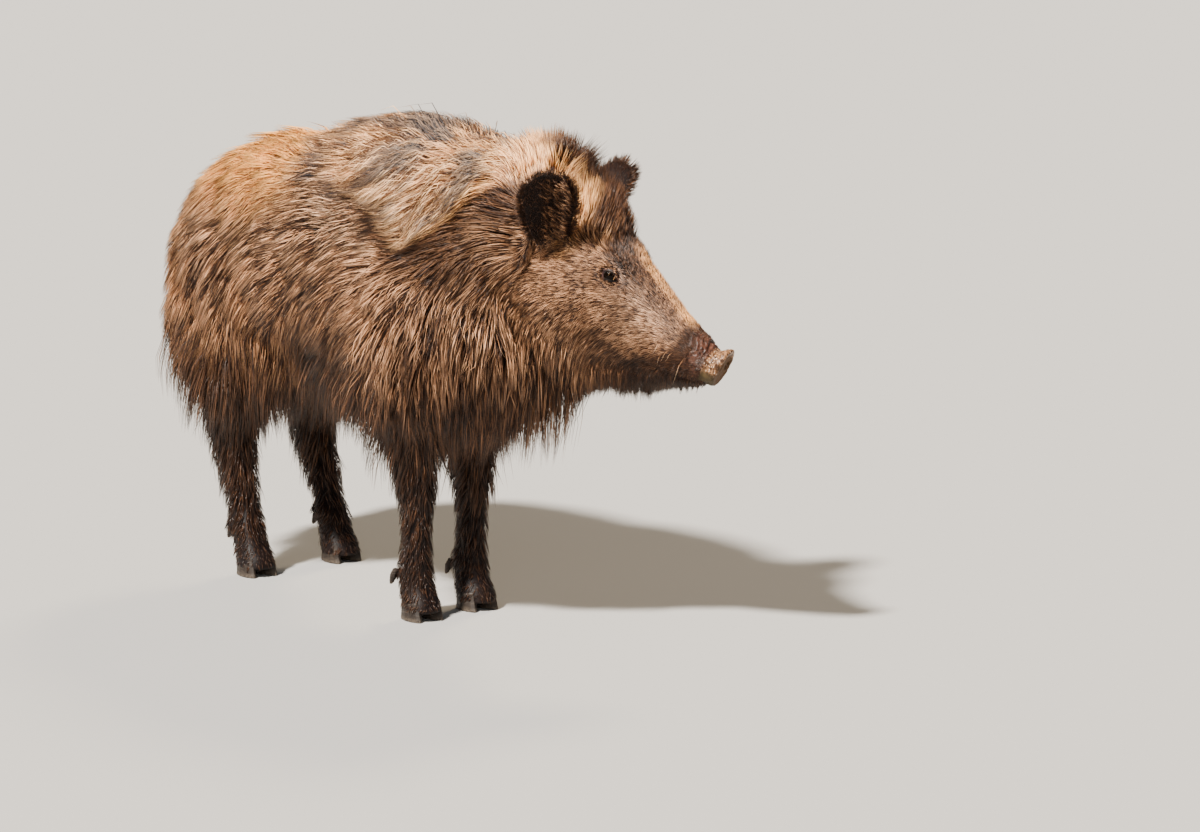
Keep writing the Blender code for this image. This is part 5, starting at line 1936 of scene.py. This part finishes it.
def lashes(side, seed):
    """Upper lashes that droop over the eye: dark ones, and a few long pale ones."""
    rng = np.random.default_rng(seed)
    out, forward, up = eye_axes(side)
    centre = on_side(EYE_AT, side)
    roots, aims, lengths = [], [], []
    count, pale = 34, 2
    for index in range(count):
        ahead = EYE_HALF_LENGTH * (rng.uniform(-0.55, 0.65) if index < pale else rng.uniform(-0.9, 0.9))
        high = EYE_RISE * (1 - (ahead / EYE_HALF_LENGTH) ** 2) ** 0.70 + 0.0014
        level = math.sqrt(max((EYE_RADIUS + LID) ** 2 - ahead**2 - high**2, 0.0)) + 0.0006
        roots.append(centre + out * level + forward * ahead + up * high)
        droop = -0.55 if index < pale else 0.25
        aims.append(out * 0.85 + up * droop + forward * (0.3 * ahead / EYE_HALF_LENGTH + rng.normal() * 0.10))
        lengths.append(rng.uniform(0.010, 0.014) if index < pale else rng.uniform(0.005, 0.009))
    roots, aims = out_of_head(roots, aims)
    bend = -0.55 * (HEAD_TURNED @ up)
    facing = np.broadcast_to(HEAD_TURNED @ forward, roots.shape)
    made = strands(roots, aims, np.array(lengths), LASH, bend, {"gold": 0.6, "pale": 1.0}, seed, facing)
    made["dark"] = (np.arange(count) >= pale).astype(float)
    return made


def whiskers(skin, side, seed):
    """Long pale hairs on the muzzle, that curve back and down."""
    rng = np.random.default_rng(seed)
    roots, aims, lengths = [], [], []
    long_ones = 4
    for index in range(11):
        a = rng.uniform(0.236, 0.256) if index < long_ones else rng.uniform(0.190, 0.258)
        c = rng.uniform(-0.054, -0.036) if index < long_ones else rng.uniform(-0.080, -0.048)
        start = from_head(np.array(((a, SIDES[side] * 0.10, c),)))[0]
        inward = HEAD_TURNED @ np.array((0.0, -SIDES[side], 0.0))
        hit = skin.tree.ray_cast(Vector(start), Vector(inward))[0]
        if hit is None:
            continue
        roots.append(np.array(hit))
        aims.append(HEAD_TURNED @ np.array((0.16 * rng.normal() - 0.1, SIDES[side] * 0.70, -0.45)))
        lengths.append(rng.uniform(0.055, 0.078) if index < long_ones else rng.uniform(0.022, 0.040))
    roots, aims = np.array(roots), np.array(aims)
    bend = HEAD_TURNED @ np.array((0.22, 0.0, -0.50))
    facing = np.broadcast_to(HEAD_TURNED @ np.array((1.0, 0.0, 0.0)), roots.shape)
    return strands(roots, aims, np.array(lengths), WHISKER, bend, {"gold": 0.10, "pale": 1.0}, seed, facing)


# ---------------------------------------------------------------- studio and camera

FLOOR_HALF_WIDTH = 60.0
FLOOR_DROP = 0.0005


def make_camera():
    eye = Vector((7.380, -4.876, 1.878)) + SHIFT
    target = Vector((0.1176, 0.2088, 0.3118)) + SHIFT
    data = bpy.data.cameras.new("camera")
    data.lens = 171.45
    data.sensor_width = 36.0
    camera = bpy.data.objects.new("camera", data)
    camera.location = eye
    camera.rotation_euler = (target - eye).to_track_quat("-Z", "Y").to_euler()
    bpy.context.scene.collection.objects.link(camera)
    bpy.context.scene.camera = camera


def add_sun(name, towards, strength, spread, colour, mirrored=True):
    """A far, wide lamp, so that the light is even over the floor; spread is its width in degrees."""
    data = bpy.data.lights.new(name, "SUN")
    data.energy = strength
    data.angle = math.radians(spread)
    data.color = colour
    light = bpy.data.objects.new(name, data)
    light.visible_glossy = mirrored
    light.rotation_euler = Vector(towards).to_track_quat("Z", "Y").to_euler()
    light.location = Vector(towards) * 3
    bpy.context.scene.collection.objects.link(light)


def make_studio():
    mesh_data = bmesh.new()
    bmesh.ops.create_grid(mesh_data, x_segments=1, y_segments=1, size=FLOOR_HALF_WIDTH)
    floor = object_from_bmesh("studio_floor", mesh_data)
    floor.location.z = -FLOOR_DROP
    material, _, shader = new_material("studio_floor", {"Roughness": 0.9})
    shader.inputs["Base Color"].default_value = (0.30, 0.293, 0.284, 1.0)
    floor.data.materials.append(material)
    world = bpy.data.worlds.new("studio")
    world.use_nodes = True
    background = world.node_tree.nodes["Background"]
    background.inputs["Color"].default_value = (0.94, 0.97, 1.0, 1.0)
    background.inputs["Strength"].default_value = 0.24
    bpy.context.scene.world = world
    add_sun("key", (0.20, -0.78, 0.98), 17.0, 5.0, (1.0, 0.94, 0.86))
    add_sun("fill", (0.90, -0.50, 0.40), 0.8, 35.0, (1.0, 0.97, 0.94), mirrored=False)
    add_sun("rim", (-0.60, 0.85, 0.85), 4.0, 12.0, (1.0, 0.80, 0.54), mirrored=False)


# ---------------------------------------------------------------- the animal


def marks_on_skin(skin_object, skin):
    """Keeps the markings of the hide, the lids and the snout on the skin, for its material."""
    mesh = skin_object.data
    a, b, c = skin.local.T
    for name, values in skin.marks.items():
        keep_value(mesh, name, values)
    for name in ("lids", "pink"):
        keep_value(mesh, name, getattr(skin, name))
    front = ramp(a, 0.2935, 0.2985)
    keep_value(mesh, "disc", front * ramp(disc_reach(b, c) + 0.3 * ramp(c, -0.045, -0.030), 1.02, 0.80))
    keep_value(mesh, "shelf", ramp(a, 0.274, 0.281) * ramp(c, -0.074, -0.060))
    # Olive: the lower side of the shelf, muddy and in painted shade.
    keep_value(mesh, "olive", ramp(a, 0.274, 0.281) * ramp(c, -0.058, -0.072))
    keep_value(mesh, "lip", ramp(a, 0.232, 0.256) * ramp(c, -0.105, -0.085))
    # Pit: painted shade in the nostrils and along the mouth's groove.
    mouth = 0.8 * bump(c - mouth_height(a), 0.0, 0.0014) * ramp(a, 0.19, 0.23) * ramp(a, 0.2925, 0.288)
    nostrils = ramp(nostril_reach(b, c), 1.0, 0.75) * ramp(a, 0.278, 0.284)
    keep_value(mesh, "pit", np.maximum(nostrils, mouth))


# How single pieces differ from the coat's habit: factors for lift, length and gather, more hang, the
# least length, marks laid over the skin's own, how far each tuft's shade goes its own way (spread) and
# how far the tips may pass the outline (past).
CHANGES = {
    "coat_cape": {"lift": 1.45, "gather": 1.30, "hang": 0.22, "shortest": 0.080, "pale": 0.9, "past": 0.014},
    "coat_poll": {"length": 1.12, "past": 0.026},
    "coat_throat": {"length": 1.35, "gather": 1.5, "hang": 0.45, "past": 0.040},
    "coat_face_right": {"spread": 0.45},
    "coat_face_left": {"spread": 0.45},
    "coat_legs": {"past": 0.012},
    "coat_fringe": {
        "length": 1.25,
        "gather": 1.3,
        "hang": 0.40,
        "shortest": 0.100,
        "dark": 0.80,
        "past": 0.040,
    },
}


def coat_plan(skin):
    """What each coat piece covers: weights on the skin's faces, tufts, bands, lock size, stoutness."""
    s = {name: skin.of_faces(values) for name, values in skin.shares.items()}
    middle = skin.points[skin.faces].mean(axis=1)
    local = skin.local[skin.faces].mean(axis=1)
    free = np.clip(1 - 1.6 * skin.of_faces(skin.bare), 0, 1) * skin.areas
    free *= (middle[:, 2] > CLAW_FRONT_CORONET - 0.012) | (local[:, 0] > 0)
    right = middle[:, 1] < 0
    head_right = local[:, 1] < 0
    kept = (1 - s["ear"]) * (1 - s["tail"]) * free
    head = np.maximum(s["head"], s["poll"])
    face = head * kept * (1 - s["poll"]) * (1 - s["throat"])
    long_face = skin.of_faces(skin.habit["long_face"])
    jowl = face * long_face
    face = face * (1 - long_face) * (1 + 0.8 * ramp(local[:, 0], 0.12, 0.24))
    trunk = (1 - head) * kept * (1 - s["leg"]) * (1 - s["crest"]) * (1 - s["throat"])
    front = middle[:, 0] > MID_TRUNK
    x, _, z = middle.T
    over = skin.of_faces(over_cape_edge(skin.points))
    cape = ramp(x, -0.10, 0.02) * ramp(x, 0.270, 0.245) * ramp(over, 0.030, 0.045) * ramp(over, 0.100, 0.075)
    cape *= (1 - head) * (0.25 + right)
    fringe = ramp(z, 0.445, 0.400) * (1 - head) * ramp(x, 0.10, 0.04) * ramp(x, -0.62, -0.58)
    fringe *= ramp(z, 0.300, 0.345)
    return {
        "coat_flank_right": (trunk * right * front, 18500, 2, 0.026, 1.0),
        "coat_haunch_right": (trunk * right * ~front, 18500, 2, 0.026, 1.0),
        "coat_flank_left": (trunk * ~right * front, 8000, 2, 0.030, 1.45),
        "coat_haunch_left": (trunk * ~right * ~front, 8000, 2, 0.030, 1.45),
        "coat_crest": (s["crest"] * (1 - head) * kept * (1 + 0.7 * right), 8700, 3, 0.024, 1.1),
        "coat_cape": (cape * kept, 5200, 3, 0.034, 1.3),
        "coat_poll": (s["poll"] * kept, 8000, 2, 0.009, 1.0),
        "coat_throat": (s["throat"] * kept, 8400, 3, 0.022, 1.0),
        "coat_face_right": (face * head_right, 27000, 1, 0.009, 1.0),
        "coat_face_left": (face * ~head_right, 11000, 1, 0.010, 1.4),
        "coat_jowl_right": (jowl * head_right, 9000, 2, 0.011, 1.0),
        "coat_jowl_left": (jowl * ~head_right, 4000, 2, 0.012, 1.35),
        "coat_legs": (s["leg"] * (1 - head) * kept, 9800, 2, 0.016, 1.0),
        "coat_fringe": (fringe * kept, 4200, 3, 0.026, 1.1),
        "coat_ears": (s["ear"] * free, 8000, 1, 0.007, 1.0),
        "coat_tail": (s["tail"] * free, 1000, 3, 0.012, 1.0),
    }


def main():
    make_camera()
    make_studio()
    outline = outline_tree()
    skin_object = make_skin(outline)
    skin = Skin(skin_object, outline)
    marks_on_skin(skin_object, skin)
    skin_object.data.transform(Matrix.Translation(SHIFT))
    flesh = ["head", "neck", "trunk", "tail", *LEGS, "ear_right", "ear_left", "snout_disc"]
    finish_piece(skin_object, skin_material(), slot="coat", nodes=flesh)
    bristle = hair_material()
    tree = tuft_tree()
    share = 1.0
    for seed, (name, (weights, count, *build)) in enumerate(coat_plan(skin).items(), start=1):
        tufts = grow(skin, weights, int(count * share), seed, *build, CHANGES.get(name, {}))
        piece = tuft_object(name, tufts, tree, bristle, seed)
        finish_piece(piece, bristle, slot="dark_coat" if name in ("coat_ears", "coat_tail") else "coat")
    fringes = [ear_fringe(side, 60 + i) for i, side in enumerate(SIDES)]
    fringes = joined(fringes + [ear_lining(side, 65 + i) for i, side in enumerate(SIDES)])
    piece = tuft_object("fringe_ears", fringes, tree, bristle, 61)
    finish_piece(piece, bristle, slot="dark_coat")
    fine_hairs = [lashes(side, 70 + i) for i, side in enumerate(SIDES)]
    fine_hairs += [whiskers(skin, side, 80 + i) for i, side in enumerate(SIDES)]
    piece = tuft_object("lashes_and_whiskers", joined(fine_hairs), tree, bristle, 71)
    finish_piece(piece, bristle, slot="coat")
    glossy = eye_material()
    for side in SIDES:
        make_eyeball(side, glossy)
    horn = horn_material()
    for node in sorted(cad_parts):
        if "claw" in node:
            make_horn(node, horn)


main()
